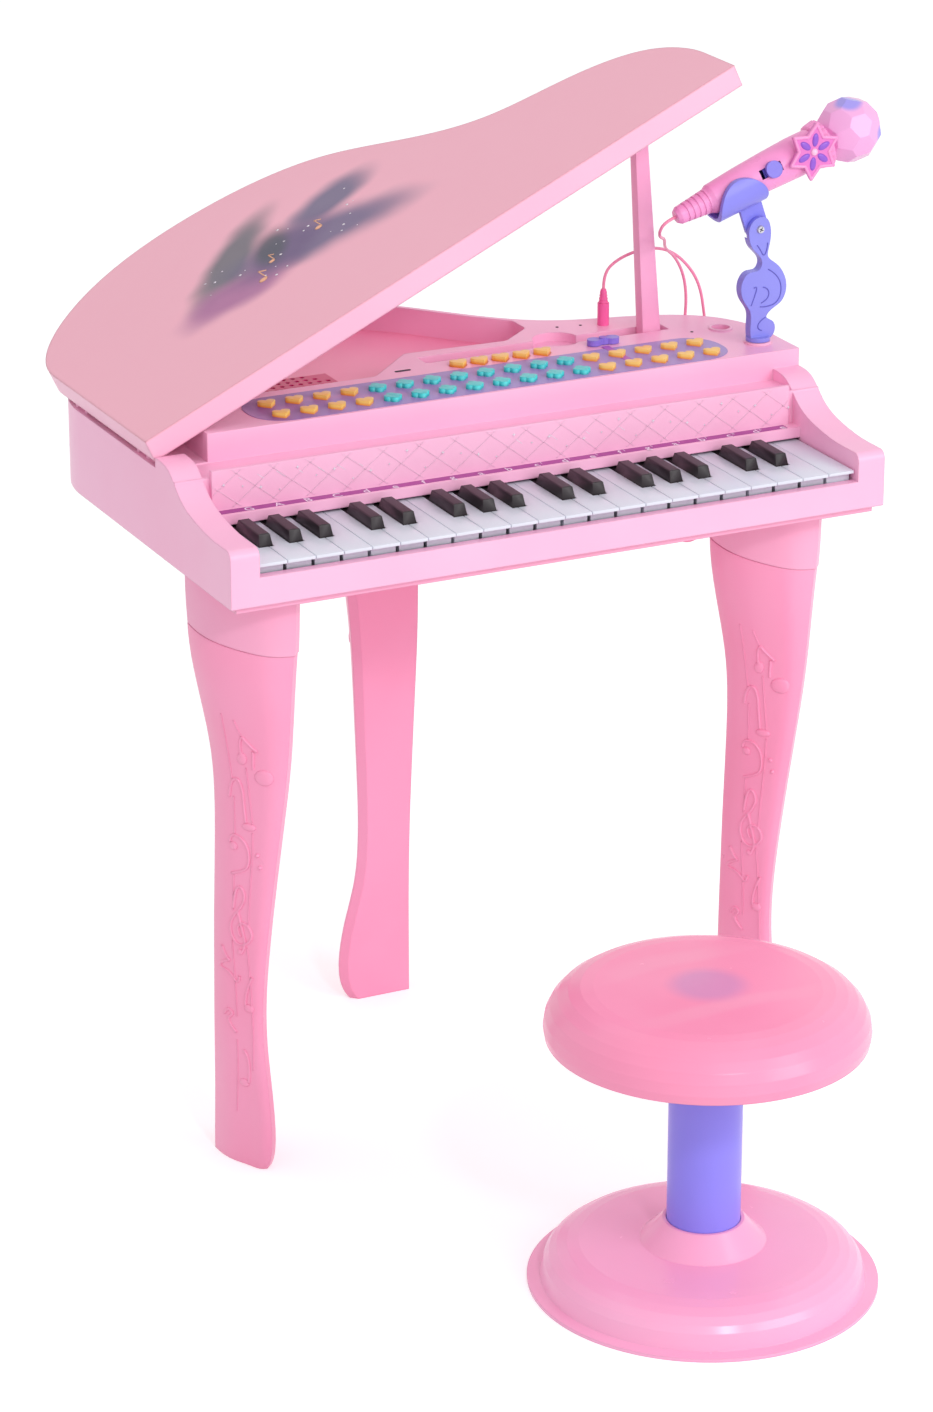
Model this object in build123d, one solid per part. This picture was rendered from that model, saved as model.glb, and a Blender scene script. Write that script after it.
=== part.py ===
"""A toy grand-piano keyboard with three legs, a propped lid, a microphone and a round stool.

Millimetres, +Z up. Every piece is drawn in the frame of the case: x = 0 is the middle of the
keyboard, y = 0 is the front face, and z = 0 is the underside of the upper case. The last step moves
all of them together, so that the origin is on the floor under the middle of the set.
"""
import os
from math import cos, hypot, pi, radians, sin, tan

from build123d import *

# ---- the case -------------------------------------------------------------------------------
CASE_WIDTH = 483.0        # across both cheeks
SIDE_LENGTH = 262.0       # straight left side, from the front face to where the rear sweep starts
RIGHT_SIDE = 165.0        # straight right side
DECK_HEIGHT = 79.5        # top of the deck above the underside of the upper case
WALL = 2.5                # moulded wall
CHEEK_WIDTH = 20.5        # solid-looking block at each end of the keys
CHEEK_HEIGHT = 39.0       # its top at the front
CHEEK_SHOULDER = 67.0     # its top where it meets the deck
CHEEK_NOSE = 6.0          # rounding of its front top edge
RAIL_HEIGHT = 19.5        # front rail under the keys
RAIL_SHELF = 7.0          # depth of the rail's top
RISER_Y = 79.5            # front face of the ledge behind the keys
RISER_FOOT = 28.5         # lower edge of that face
STRIP_HEIGHT = 36.0       # the ledge that carries the note strip
FALLBOARD_Y = 88.0        # front face of the fallboard
FALLBOARD_THICK = 3.0
FALLBOARD_TOP = 64.0
FALLBOARD_GAP = 4.5       # open slot between the fallboard and each cheek
STEP_HEIGHT = 59.0        # ledge behind the fallboard
DECK_FRONT = 119.0        # front face of the raised deck
SHOULDER_X = -206.0       # left of this line the case is low, to make room for the lid's edge
BOWL_FLOOR = 60.0         # sunken sound bowl behind the deck
BOWL_RIM = 4.0            # width of the rim between the bowl and the outside
BOWL_CORNER = 7.0
CASE_SWEEP = ((225, 212), (178, 239), (116, 256), (68, 297), (16, 354), (-80, 388), (-184, 360))
LIP_INSET = 5.6           # the lower case is set in by this much
LIP_DEPTH = 5.0           # and hangs this far below the upper case
SHELL_GAP = 0.4           # between the two halves of the case

# ---- keys -----------------------------------------------------------------------------------
KEY_PITCH = 20.0
WHITE_KEYS = 22
KEY_GAP = 0.6             # between the tops of two white keys
WHITE_TOP = 27.0
WHITE_FRONT = 3.5
LIP_THICK = 2.2           # thin front lip of a white key
BODY_FRONT = 8.6          # the key's body stands back under the lip
BODY_WIDTH = 17.6
BODY_BOTTOM = 14.0
NOTCH_FRONT = 33.5
BLACK_WIDTH = 9.6
BLACK_TOP_WIDTH = 7.8
BLACK_FRONT = 35.0
BLACK_REAR = 73.5
BLACK_RISE = 7.6          # above the white keys
BLACK_SLOPE = 2.6         # how far its front and rear faces lean
PIVOT_Y = 104.0           # rail on which every key rocks
PIVOT_Z = 21.0
PIVOT_RADIUS = 2.0
PIVOT_CLEARANCE = 0.3
KEY_REAR = 109.0

# ---- buttons --------------------------------------------------------------------------------
BUTTON_PITCH = 20.4
BUTTON_FIRST_X = -146.0
BUTTON_ROWS = (133.0, 157.5)
HEARTS_LEFT = 4
CLOVERS = 8
HEARTS_RIGHT = 5
RHYTHM_FIRST_X = 10.0     # third, short row
RHYTHM_PITCH = 16.2
RHYTHM_Y = 185.0
RHYTHM_BUTTONS = 5
HEART_WIDTH = 12.6
CLOVER_WIDTH = 13.0
BUTTON_RISE = 3.4         # above the deck at rest
BUTTON_TRAVEL = 1.2
BUTTON_CLEARANCE = 0.45   # in its hole
BUTTON_FLANGE = 1.3       # rim under the deck that keeps it in
FLANGE_THICK = 1.4
FLANGE_GAP = 0.35
BOARD_THICK = 1.6
BOARD_LENGTH = 356.0
BOARD_WIDTH = 62.0
SWITCH_X = 123.0          # bow-shaped power switch
SWITCH_Y = 187.0
SWITCH_LOBE = 5.2
SWITCH_SPAN = 14.0        # between the middles of its two lobes
SWITCH_TRAVEL = 3.0

# ---- legs -----------------------------------------------------------------------------------
LEG_HEIGHT = 425.0        # floor to the underside of the upper case
LEG_BACK = 90.0           # flat back face of the front legs
LEG_LEFT = -224.0         # outer edge of the left leg, below its shoulder
LEG_SPACING = 392.0       # left leg to right leg
REAR_LEG_X = 9.0          # right-hand edge of the rear leg, which is turned by a quarter
REAR_LEG_Y = 293.0        # places its flat front face
SOCKET_DEPTH = 38.0       # moulded collar below the lower case, at the back of the leg
SOCKET_SLANT = 13.0       # the seam is this much lower at the nose
TENON_INSET = 3.0         # the leg's tenon is this much smaller than the collar
TENON_GAP = 0.3
TENON_LENGTH = 24.0

# ---- lid ------------------------------------------------------------------------------------
LID_LENGTH = 482.0
LID_SIDE = 290.0          # its straight left side ends here
LID_FRONT = 124.0
LID_SWEEP = ((464, 220), (414, 250), (353, 269), (308, 307), (256, 363), (159, 394), (61, 373))
LID_SKIRT = 16.0          # depth of its edge
LID_THICK = 2.5
LID_ANGLE = 25.3          # propped open
LID_EDGE_X = -248.0       # its top left edge when open
LID_EDGE_Z = 78.3
LID_TRAVEL = 12.0         # it can be lifted this much further
HINGE_X = -234.0
HINGE_Z = 65.0
HINGE_PIN = 2.4           # radius
HINGE_CLEARANCE = 0.3
HINGE_LENGTH = 12.0
HINGE_PLACES = (152.0, 262.0)

# ---- prop -----------------------------------------------------------------------------------
PROP_X = 170.0
PROP_Y = 207.0
PROP_Z = 71.0             # its pivot
PROP_LEAN = 4.0           # degrees to the left of upright
PROP_LENGTH = 173.0       # pivot to tip
PROP_BASE = 14.0
PROP_TIP = 9.0
PROP_THICK = 10.0
PROP_HUB = 8.5            # radius of the round hub at its foot
PROP_PIN = 2.5
PAD_GAP = 0.6             # between the prop's tip and the pad under the lid
PAD_LENGTH = 16.0
PAD_WIDTH = 15.0
PROP_FOLD = 86.0          # degrees, down into its groove
GROOVE_WIDTH = 15.0
GROOVE_LEFT = -8.0
GROOVE_RIGHT = 182.0
GROOVE_FLOOR = 61.5
DISH_X = 99.0             # round finger dish across the groove
DISH_Y = 212.0
DISH_RADIUS = 17.0
DISH_FLOOR = 73.0

# ---- microphone -----------------------------------------------------------------------------
STAND_X = 222.5
STAND_Y = 144.0
STAND_THICK = 7.0
STAND_BOSS = 9.7
STAND_FOOT = 81.3         # underside of the stand
STAND_PIN = 4.5           # radius of the peg in the deck
SOCKET_CLEARANCE = 0.15
STAND_PIN_LENGTH = 12.0
TILT_X = 220.6            # screw between the stand and the clamp
TILT_Z = 161.8
TILT_SCREW = 2.0
MIC_TILT = 19.0           # degrees above level
MIC_TAIL_X = 155.5        # end of the strain relief
MIC_TAIL_Z = 177.5
MIC_LENGTH = 143.0        # tail end to the middle of the ball
MIC_BALL = 22.2           # radius
MIC_FACET = 21.4          # from the ball's middle to each flat
MIC_NECK = 117.0          # from the tail end to the front of the grip
MIC_WALL = 2.0
CLAMP_PLACE = 46.0        # from the tail end to the middle of the clamp
CLAMP_INSIDE = 13.8       # radius
CLAMP_OUTSIDE = 17.0
CLAMP_ROUND = 19.5        # radius of the clamp's outline from the side
SLIDER_PLACE = 74.0
SLIDER_TRAVEL = 5.0
SLIDER_TURN = 20.0        # degrees up from the side
SPARE_X = 215.5           # empty round socket beside the stand
SPARE_Y = 185.0
SPARE_RADIUS = 6.5
PLUG_X = 145.5
PLUG_Y = 230.0
PLUG_RADIUS = 4.2
PLUG_BODY = 16.0
PLUG_RELIEF = 10.0
PLUG_PIN = 1.75
JACK_CLEARANCE = 0.05

# ---- microphone cord ------------------------------------------------------------------------
CORD_RADIUS = 1.1
CORD_ROUTE = [
    (155.5, 144, 177.5), (147, 144, 174.57), (145.5, 149, 166.5), (152, 159, 159.5),
    (167, 180, 152), (184, 212, 135), (200, 225, 124), (212, 232, 105), (216, 236, 80),
    (211, 238, 42), (206, 240, -4), (205.5, 241, -50), (207, 241, -80), (215, 241, -97),
    (231, 240.5, -98), (239, 240, -82), (240, 239.5, -54), (238.5, 238, -12), (236, 237, 32),
    (231, 236, 72), (225, 234, 100), (209, 231, 120), (191, 228, 131), (172, 229, 131),
    (155, 230.5, 125), (145.5, 230, 116.5), (145.5, 230, 105.5)]

# ---- stool ----------------------------------------------------------------------------------
STOOL_X = -12.0
STOOL_Y = -222.5
RIM_RADIUS = 114.3
SEAT_RADIUS = 105.0
SEAT_UNDER = 174.0        # lower edge of the seat above the floor
SEAT_TOP = 209.0
DOME_ROUND = 32.0         # how far in the seat and the base curve over at their edge
BASE_TOP = 29.0           # top of the base around its collar
COLUMN_RADIUS = 24.0
COLUMN_GAP = 0.3
COLLAR_TOP = 44.0

# ---- inside the case ------------------------------------------------------------------------
BOARD_TOP = DECK_HEIGHT - WALL - FLANGE_GAP - FLANGE_THICK - BUTTON_TRAVEL - 0.4
BOARD_POSTS = ((-156, 127), (194, 127), (-156, 171), (194, 171), (-36, 145.5), (86, 145.5))
SPEAKER_X = -87.0
SPEAKER_Y = 240.0
SPEAKER_RADIUS = 28.5
GRILLE_PITCH = 7.0
GRILLE_HOLE = 1.7
DOOR = (-62.0, 62.0, 136.0, 208.0)    # battery door: left, right, front, rear
SCREW_SEAT = 3.0          # where the two halves' screw posts meet
CASE_SCREWS = ((-228.3, 22, 37.5), (228.3, 22, 37.5), (-228.3, 104, 62), (228.3, 104, 62),
               (-100, 114.5, 57.5), (100, 114.5, 57.5), (-205, 250, 58.5),
               (-150, 335, 58.5), (-20, 335, 58.5), (200, 212, 78), (118, 238, 78))

HALF = CASE_WIDTH / 2
INNER = HALF - CHEEK_WIDTH
FLOOR = -LEG_HEIGHT
TALL = 300.0              # taller than anything that is cut


def box(x0, x1, y0, y1, z0, z1):
    """A block from its low and high corner."""
    middle = Pos((x0 + x1) / 2, (y0 + y1) / 2, (z0 + z1) / 2)
    return middle * Box(x1 - x0, y1 - y0, z1 - z0)


def rod(x, y, z0, z1, radius):
    """An upright cylinder."""
    return Pos(x, y, (z0 + z1) / 2) * Cylinder(radius, z1 - z0)


def prism(face, z0, z1):
    """A flat face raised from z0 to z1."""
    return extrude(Pos(0, 0, z0) * face, z1 - z0)


def rod_y(x, z, y0, y1, radius):
    """A cylinder along Y."""
    return Pos(x, (y0 + y1) / 2, z) * Rot(90, 0, 0) * Cylinder(radius, y1 - y0)


def rod_x(y, z, x0, x1, radius):
    """A cylinder along X."""
    return Pos((x0 + x1) / 2, y, z) * Rot(0, 90, 0) * Cylinder(radius, x1 - x0)


# ---- plans ----------------------------------------------------------------------------------
def beside(curve, distance, steps=24):
    """A curve at a distance to the left of another one, with the same directions at its ends."""
    points = []
    for k in range(steps + 1):
        along = curve % (k / steps)
        points.append(curve @ (k / steps) + Vector(-along.Y, along.X) * distance)
    return Spline(*points, tangents=(curve % 0, curve % 1), tangent_scalars=(1.0, 1.0))


def piano_plan(left, right, front, left_end, right_end, sweep, inset):
    """A grand piano from above: straight front and sides, and a rear that sweeps in an S."""
    rear = Spline((right, right_end), *sweep, (left, left_end),
                  tangents=((0, 1), (0, -1)), tangent_scalars=(1.0, 1.0))
    if inset:
        rear = beside(rear, inset)
    straight = Polyline((left + inset, left_end), (left + inset, front + inset),
                        (right - inset, front + inset), (right - inset, right_end))
    return make_face([rear, straight])


def case_plan(inset=0.0):
    return piano_plan(-HALF, HALF, 0, SIDE_LENGTH, RIGHT_SIDE, CASE_SWEEP, inset)


def lid_plan(inset=0.0):
    return piano_plan(0, LID_LENGTH, LID_FRONT, LID_SIDE, RIGHT_SIDE, LID_SWEEP, inset)


def bowl_plan(grow=0.0):
    """The sunken bowl: all that lies inside the rim and behind the deck and its tongue."""
    left = SHOULDER_X + WALL
    edge = Polyline((left, 187), (-52, 187), (-12, 227), (66, 224), (92, 246), (92, 420),
                    (left, 420), close=True)
    area = make_face(edge)
    if grow:
        area = offset(area, grow, kind=Kind.INTERSECTION)
    area &= case_plan(BOWL_RIM - grow)
    corners = [v for v in area.vertices() if v.Y > 180 and abs(v.X) < HALF - BOWL_RIM - 8]
    return fillet(corners, BOWL_CORNER)


def heart(width, grow=0.0):
    """A plump heart, point towards the player."""
    r = width / 4
    lobes = Pos(-r, r * 0.4) * Circle(r + grow) + Pos(r, r * 0.4) * Circle(r + grow)
    spread = (r + grow) * 0.72
    tip = make_face(Polyline((-r - spread, r * 0.4 - spread), (0, -2.15 * r - grow * 1.4),
                             (r + spread, r * 0.4 - spread), (0, r * 0.9), close=True))
    return lobes + tip


def clover(width, grow=0.0):
    """A four-leaved clover button."""
    r = width / 4
    leaf = Circle(r * 0.98 + grow)
    return sum((Rot(0, 0, 90 * k) * Pos(r, 0) * leaf for k in range(1, 4)), Pos(r, 0) * leaf)


# ---- case -----------------------------------------------------------------------------------
def behind(y, x0=-500.0, x1=500.0):
    """The plan behind a line across the case."""
    return Pos((x0 + x1) / 2, y + 500) * Rectangle(x1 - x0, 1000)


def case_mass(t):
    """The case's outside, or with t its inside, as plans that lie on top of each other."""
    plan = case_plan(t)
    plate = HALF - CHEEK_WIDTH - FALLBOARD_GAP
    mass = prism(plan, -1 if t else 0, RAIL_HEIGHT - t)
    mass += prism(plan & behind(RISER_Y + t), 0, STRIP_HEIGHT - t)
    mass += prism(plan & behind(FALLBOARD_Y + FALLBOARD_THICK + t), 0, STEP_HEIGHT - t)
    if t:
        mass += prism(behind(FALLBOARD_Y + FALLBOARD_THICK, -plate + t, plate - t)
                      & (Pos(0, 100) * Rectangle(900, 40)), 0, STEP_HEIGHT - t)
    mass += prism(plan & behind(DECK_FRONT + t), 0, BOWL_FLOOR - t)
    deck = plan & behind(DECK_FRONT + t, SHOULDER_X + t)
    mass += prism(deck - bowl_plan(t), 0, DECK_HEIGHT - t)
    return mass


def cheek(side, t):
    """The block at one end of the keys, or with t its inside."""
    h = CHEEK_HEIGHT
    top = Spline((CHEEK_NOSE, h), (28, h), (55, h + 3), (84, h + 13), (101, h + 25.5),
                 (DECK_FRONT, CHEEK_SHOULDER), tangents=((1, 0), (1, 0)), tangent_scalars=(1.0, 1.0))
    if t:
        top = beside(top, -t)
    nose = RadiusArc((t, h - CHEEK_NOSE), (CHEEK_NOSE, h - t), CHEEK_NOSE - t)
    end = (DECK_FRONT, CHEEK_SHOULDER - t)
    step = [] if t else [(DECK_FRONT + 4, CHEEK_SHOULDER)]
    foot = [(DECK_FRONT, 0)] if t else [(DECK_FRONT + 4, 0)]
    rest = Polyline(end, *step, *foot, (t, 0), (t, h - CHEEK_NOSE))
    face = make_face([nose, top, rest])
    block = extrude(Plane.YZ * face, CHEEK_WIDTH - 2 * t)
    return Pos(INNER + t if side > 0 else -HALF + t, 0, 0) * block


def screw_boss(x, y, z0, z1):
    return rod(x, y, z0, z1, 4.5) - rod(x, y, z0 - 1, z0 + 12, 1.4)


def all_buttons():
    """Every button as its outline's maker, width and place."""
    for y in BUTTON_ROWS:
        for k in range(HEARTS_LEFT + CLOVERS + HEARTS_RIGHT):
            x = BUTTON_FIRST_X + BUTTON_PITCH * k
            if HEARTS_LEFT <= k < HEARTS_LEFT + CLOVERS:
                yield clover, CLOVER_WIDTH, x, y
            else:
                yield heart, HEART_WIDTH, x, y
    for k in range(RHYTHM_BUTTONS):
        yield heart, HEART_WIDTH, RHYTHM_FIRST_X + RHYTHM_PITCH * k, RHYTHM_Y


def fold(place):
    """Moves a piece of the prop, drawn upright at the origin, to its pivot and lean."""
    return Pos(PROP_X, PROP_Y, PROP_Z) * Rot(0, -PROP_LEAN, 0) * place


def upper_case():
    case = case_mass(0)
    case += cheek(-1, 0) + cheek(1, 0)
    plate = HALF - CHEEK_WIDTH - FALLBOARD_GAP
    case += box(-plate, plate, FALLBOARD_Y, FALLBOARD_Y + FALLBOARD_THICK,
                STRIP_HEIGHT - WALL, FALLBOARD_TOP)
    case -= case_mass(WALL)
    case -= cheek(-1, WALL) + cheek(1, WALL)
    case -= box(-INNER, INNER, RAIL_SHELF, RISER_Y + WALL + 0.1, 2, RISER_FOOT)
    # groove for the folded prop, with the finger dish across it
    y0 = PROP_Y - GROOVE_WIDTH / 2
    y1 = PROP_Y + GROOVE_WIDTH / 2
    case += box(GROOVE_LEFT - WALL, GROOVE_RIGHT + WALL, y0 - WALL, y1 + WALL,
                GROOVE_FLOOR - WALL, DECK_HEIGHT - 1)
    case += rod(DISH_X, DISH_Y, DISH_FLOOR - WALL, DECK_HEIGHT - 1, DISH_RADIUS + WALL)
    case -= box(GROOVE_LEFT, GROOVE_RIGHT, y0, y1, GROOVE_FLOOR, TALL)
    case -= rod(DISH_X, DISH_Y, DISH_FLOOR, TALL, DISH_RADIUS)
    case -= rod_y(PROP_X, PROP_Z, y0 - WALL - 1, y1 + WALL + 1, PROP_PIN + 0.3)
    # sockets in the deck
    case += rod(STAND_X, STAND_Y, 67, DECK_HEIGHT + 1.5, STAND_BOSS)
    case -= rod(STAND_X, STAND_Y, 60, TALL, STAND_PIN + SOCKET_CLEARANCE)
    case += rod(SPARE_X, SPARE_Y, 70, DECK_HEIGHT + 1, SPARE_RADIUS + 2)
    case -= rod(SPARE_X, SPARE_Y, 72, TALL, SPARE_RADIUS)
    case += rod(PLUG_X, PLUG_Y, 66, DECK_HEIGHT - 1, 5)
    case -= rod(PLUG_X, PLUG_Y, 60, TALL, PLUG_PIN + JACK_CLEARANCE)
    # button holes
    holes = [Pos(x, y, DECK_HEIGHT - WALL - 1) * extrude(make(width, BUTTON_CLEARANCE), 2 * WALL)
             for make, width, x, y in all_buttons()]
    case -= holes
    case -= box(SWITCH_X - 4.4, SWITCH_X + 4.4 + SWITCH_TRAVEL, SWITCH_Y - 2, SWITCH_Y + 2, 70, 90)
    case += [rod(x, y, BOARD_TOP + 0.2, DECK_HEIGHT - 1, 2.2) for x, y in BOARD_POSTS]
    # grille and speaker ring in the bowl
    case += (rod(SPEAKER_X, SPEAKER_Y, BOWL_FLOOR - 9, BOWL_FLOOR - 1, SPEAKER_RADIUS + 2.3)
             - rod(SPEAKER_X, SPEAKER_Y, BOWL_FLOOR - 10, BOWL_FLOOR - WALL, SPEAKER_RADIUS + 0.3))
    case -= grille_holes()
    for y in HINGE_PLACES:
        case += hinge_lugs(y)
    case += [screw_boss(x, y, SCREW_SEAT, top) for x, y, top in CASE_SCREWS]
    return case


def grille_holes():
    """Rows of round holes over the speaker."""
    across = 9
    deep = 8
    return [rod(SPEAKER_X + GRILLE_PITCH * (i - (across - 1) / 2),
                SPEAKER_Y + GRILLE_PITCH * (j - (deep - 1) / 2),
                BOWL_FLOOR - WALL - 1, BOWL_FLOOR + 1, GRILLE_HOLE)
            for i in range(across) for j in range(deep)
            if hypot(i - (across - 1) / 2, j - (deep - 1) / 2) < 4.3]


def hinge_lugs(y):
    """Two lugs on the case's shoulder, one each side of a lid knuckle."""
    lugs = []
    for side in (-1, 1):
        middle = y + side * (HINGE_LENGTH / 2 + HINGE_CLEARANCE + 2)
        lug = box(HINGE_X - 4.5, HINGE_X + 4.5, middle - 2, middle + 2, BOWL_FLOOR - 1, HINGE_Z)
        lug += rod_y(HINGE_X, HINGE_Z, middle - 2, middle + 2, 4.5)
        lugs.append(lug - rod_y(HINGE_X, HINGE_Z, middle - 3, middle + 3, HINGE_PIN + HINGE_CLEARANCE))
    return lugs[0] + lugs[1]


def lower_case():
    """Floor of the case, with the leg sockets below it and the key rail above."""
    foot = case_plan(LIP_INSET)
    inside = case_plan(LIP_INSET + WALL)
    tongue = case_plan(WALL + SHELL_GAP)
    case = prism(foot, -LIP_DEPTH, 6) - prism(inside, WALL - LIP_DEPTH, 7)
    case += prism(tongue, 0.5, 6) - prism(inside, 0, 7)
    case += box(-INNER + 2, INNER - 2, PIVOT_Y - 1.2, PIVOT_Y + 1.2, -LIP_DEPTH + 1, PIVOT_Z)
    case += rod_x(PIVOT_Y, PIVOT_Z, -INNER + 2, INNER - 2, PIVOT_RADIUS)
    for x in range(-200, 201, 80):
        case += box(x - 1, x + 1, PIVOT_Y - 1, PIVOT_Y + 14, -LIP_DEPTH + 1, 12)
    case += [screw_boss(x, y, 1 - LIP_DEPTH, SCREW_SEAT - 0.2) for x, y, _ in CASE_SCREWS]
    x0, x1, y0, y1 = DOOR
    case -= box(x0 - 0.4, x1 + 0.4, y0 - 0.4, y1 + 0.4, -9, 9)
    frame = box(x0 - 4, x1 + 4, y0 - 4, y1 + 4, WALL - LIP_DEPTH, WALL - LIP_DEPTH + 2)
    case += frame - box(x0 + 3, x1 - 3, y0 + 3, y1 - 3, -9, 9)
    case += [place * leg_socket() for place in leg_places()]
    return case


def battery_door():
    """A flush door with a finger recess in its underside."""
    x0, x1, y0, y1 = DOOR
    door = box(x0, x1, y0, y1, -LIP_DEPTH, WALL - LIP_DEPTH - 0.2)
    grip = Pos((x0 + x1) / 2, y1 - 9, -LIP_DEPTH) * Box(20, 5, 1.6)
    return door - grip


def circuit_board():
    y = BUTTON_ROWS[0] - 9
    board = box(-161, BOARD_LENGTH - 161, y, y + BOARD_WIDTH - 9, BOARD_TOP - BOARD_THICK, BOARD_TOP)
    last = RHYTHM_FIRST_X + RHYTHM_PITCH * (RHYTHM_BUTTONS - 1)
    board += box(RHYTHM_FIRST_X - 9, last + 9, y + 20, RHYTHM_Y + 9, BOARD_TOP - BOARD_THICK, BOARD_TOP)
    return board


def speaker():
    r = SPEAKER_RADIUS
    top = BOWL_FLOOR - WALL - 0.2
    profile = Polyline((0, 0), (r, 0), (r, -3), (r - 4, -4), (17, -14), (17, -22), (0, -22), close=True)
    cone = Polyline((0, 1), (r - 3, 1), (r - 3, -1.5), (9, -9), (0, -9), close=True)
    body = revolve(Plane.XZ * make_face(profile), Axis.Z)
    body -= revolve(Plane.XZ * make_face(cone), Axis.Z)
    return Pos(SPEAKER_X, SPEAKER_Y, top) * body


# ---- legs -----------------------------------------------------------------------------------
# height below the case, inner edge from the outer one's foot, width, depth from back to nose
LEG_STATIONS = (
    (-2.5, 46.0, 58.0, 60.0), (-35, 45.5, 56.5, 60.0), (-90, 43.5, 47.0, 54.5),
    (-130, 42.5, 38.8, 50.5), (-190, 37.0, 31.5, 45.5), (-250, 31.0, 27.3, 41.0),
    (-300, 27.0, 24.2, 39.0), (-335, 25.5, 23.3, 42.0), (-365, 25.0, 23.0, 49.5),
    (-390, 25.0, 23.4, 54.0), (-412, 25.0, 24.0, 53.0), (-425, 25.0, 24.0, 46.0))
LEG_NOSE = 5.0            # rounding of the leg's front edge


def leg_section(corner, width, depth, t):
    """A quarter of a flattened round: flat inside and back, one curved face from side to nose."""
    w = width - 2 * t
    d = depth - 2 * t
    n = LEG_NOSE - t if LEG_NOSE > t + 1 else 1
    side = Spline((-w, 0), (-w * 0.86, -d * 0.49), (-w * 0.55, -d * 0.82), (-n, -d),
                  tangents=((0, -1), (1, -0.12)))
    nose = Line((-n, -d), (0, -d + n))
    flat = Polyline((0, -d + n), (0, 0), (-w, 0))
    return Pos(corner - t, -t) * make_face([side, nose, flat])


def leg_mass(t, stations):
    """The leg's outside, or with t its inside, with its back in the plane y = 0."""
    return loft([Pos(0, 0, z) * leg_section(corner, width, depth, t)
                 for z, corner, width, depth in stations])


def below_seam(lift=0.0):
    """All that is under the slanted seam between socket and leg."""
    slope = SOCKET_SLANT / 60
    cut = Polyline((300, -SOCKET_DEPTH + 300 * slope + lift), (-300, -SOCKET_DEPTH - 300 * slope + lift),
                   (-300, -900), (300, -900), close=True)
    return Pos(-300, 0, 0) * extrude(Plane.YZ * make_face(cut), 600)


def tenon(grow):
    """The plug at the top of a leg, or with grow the hole for it."""
    t = TENON_INSET - grow
    z0 = -SOCKET_DEPTH - SOCKET_SLANT - 6
    stations = [(z, c, w, d) for z, c, w, d in LEG_STATIONS if z > -100]
    mass = leg_mass(t, stations)
    top = -SOCKET_DEPTH + TENON_LENGTH + grow
    return mass & box(-300, 300, -300, 300, z0, top)


def leg_socket():
    outside = leg_mass(0, LEG_STATIONS[:3])
    return outside - below_seam() - tenon(TENON_GAP)


def leg():
    body = leg_mass(0, LEG_STATIONS) & below_seam(-TENON_GAP)
    body += tenon(0)
    under = -SOCKET_DEPTH - SOCKET_SLANT - 10
    body -= leg_mass(WALL, [s for s in LEG_STATIONS if s[0] > -420]) & box(-90, 90, -90, 90, -410, under)
    body -= leg_mass(TENON_INSET + WALL, LEG_STATIONS[:3])
    return body


def leg_places():
    """Where the left, the right and the rear leg stand."""
    left = Pos(LEG_LEFT, LEG_BACK, 0)
    rear = Pos(REAR_LEG_X, REAR_LEG_Y, 0) * Rot(0, 0, -90)
    return left, Pos(LEG_SPACING, 0, 0) * left, rear


# ---- keys -----------------------------------------------------------------------------------
def black_offset(key):
    """Sideways shift of the black key after this white key, or None where there is none."""
    note = "FGABCDE"[key % 7]
    return {"F": -1.5, "G": 0.0, "A": 1.5, "C": -1.5, "D": 1.5}.get(note)


def pivot_slot():
    slot = box(-300, 300, PIVOT_Y - PIVOT_RADIUS - PIVOT_CLEARANCE,
               PIVOT_Y + PIVOT_RADIUS + PIVOT_CLEARANCE, 0, PIVOT_Z)
    return slot + rod_x(PIVOT_Y, PIVOT_Z, -300, 300, PIVOT_RADIUS + PIVOT_CLEARANCE)


def white_key(key):
    x = KEY_PITCH * (key - WHITE_KEYS / 2)
    half = (KEY_PITCH - KEY_GAP) / 2
    middle = x + KEY_PITCH / 2
    shape = box(middle - half, middle + half, WHITE_FRONT, RISER_Y + 10, WHITE_TOP - LIP_THICK, WHITE_TOP)
    shape += box(middle - BODY_WIDTH / 2, middle + BODY_WIDTH / 2, BODY_FRONT, KEY_REAR,
                 BODY_BOTTOM, WHITE_TOP - 0.4)
    left = black_offset(key - 1) if key else None
    right = black_offset(key) if key < WHITE_KEYS - 1 else None
    room = BLACK_WIDTH / 2 + 0.6
    if left is not None:
        shape -= box(x - 5, x + left + room, NOTCH_FRONT, 200, 0, 50)
    if right is not None:
        shape -= box(x + KEY_PITCH + right - room, x + KEY_PITCH + 5, NOTCH_FRONT, 200, 0, 50)
    return shape - pivot_slot()


def black_key(key):
    x = KEY_PITCH * (key + 1 - WHITE_KEYS / 2) + black_offset(key)
    top = WHITE_TOP + BLACK_RISE
    stem = box(-BLACK_WIDTH / 2, BLACK_WIDTH / 2, BLACK_FRONT, KEY_REAR, BODY_BOTTOM, WHITE_TOP)
    depth = BLACK_REAR - BLACK_FRONT
    low = Pos(0, BLACK_FRONT + depth / 2, WHITE_TOP) * Rectangle(BLACK_WIDTH, depth)
    high = Pos(0, BLACK_FRONT + depth / 2, top) * Rectangle(BLACK_TOP_WIDTH, depth - 2 * BLACK_SLOPE)
    cap = loft([low, high])
    edges = cap.edges().filter_by_position(Axis.Z, top - 0.1, top + 0.1)
    return Pos(x, 0, 0) * (stem + fillet(edges, 1.0)) - pivot_slot()


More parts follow.
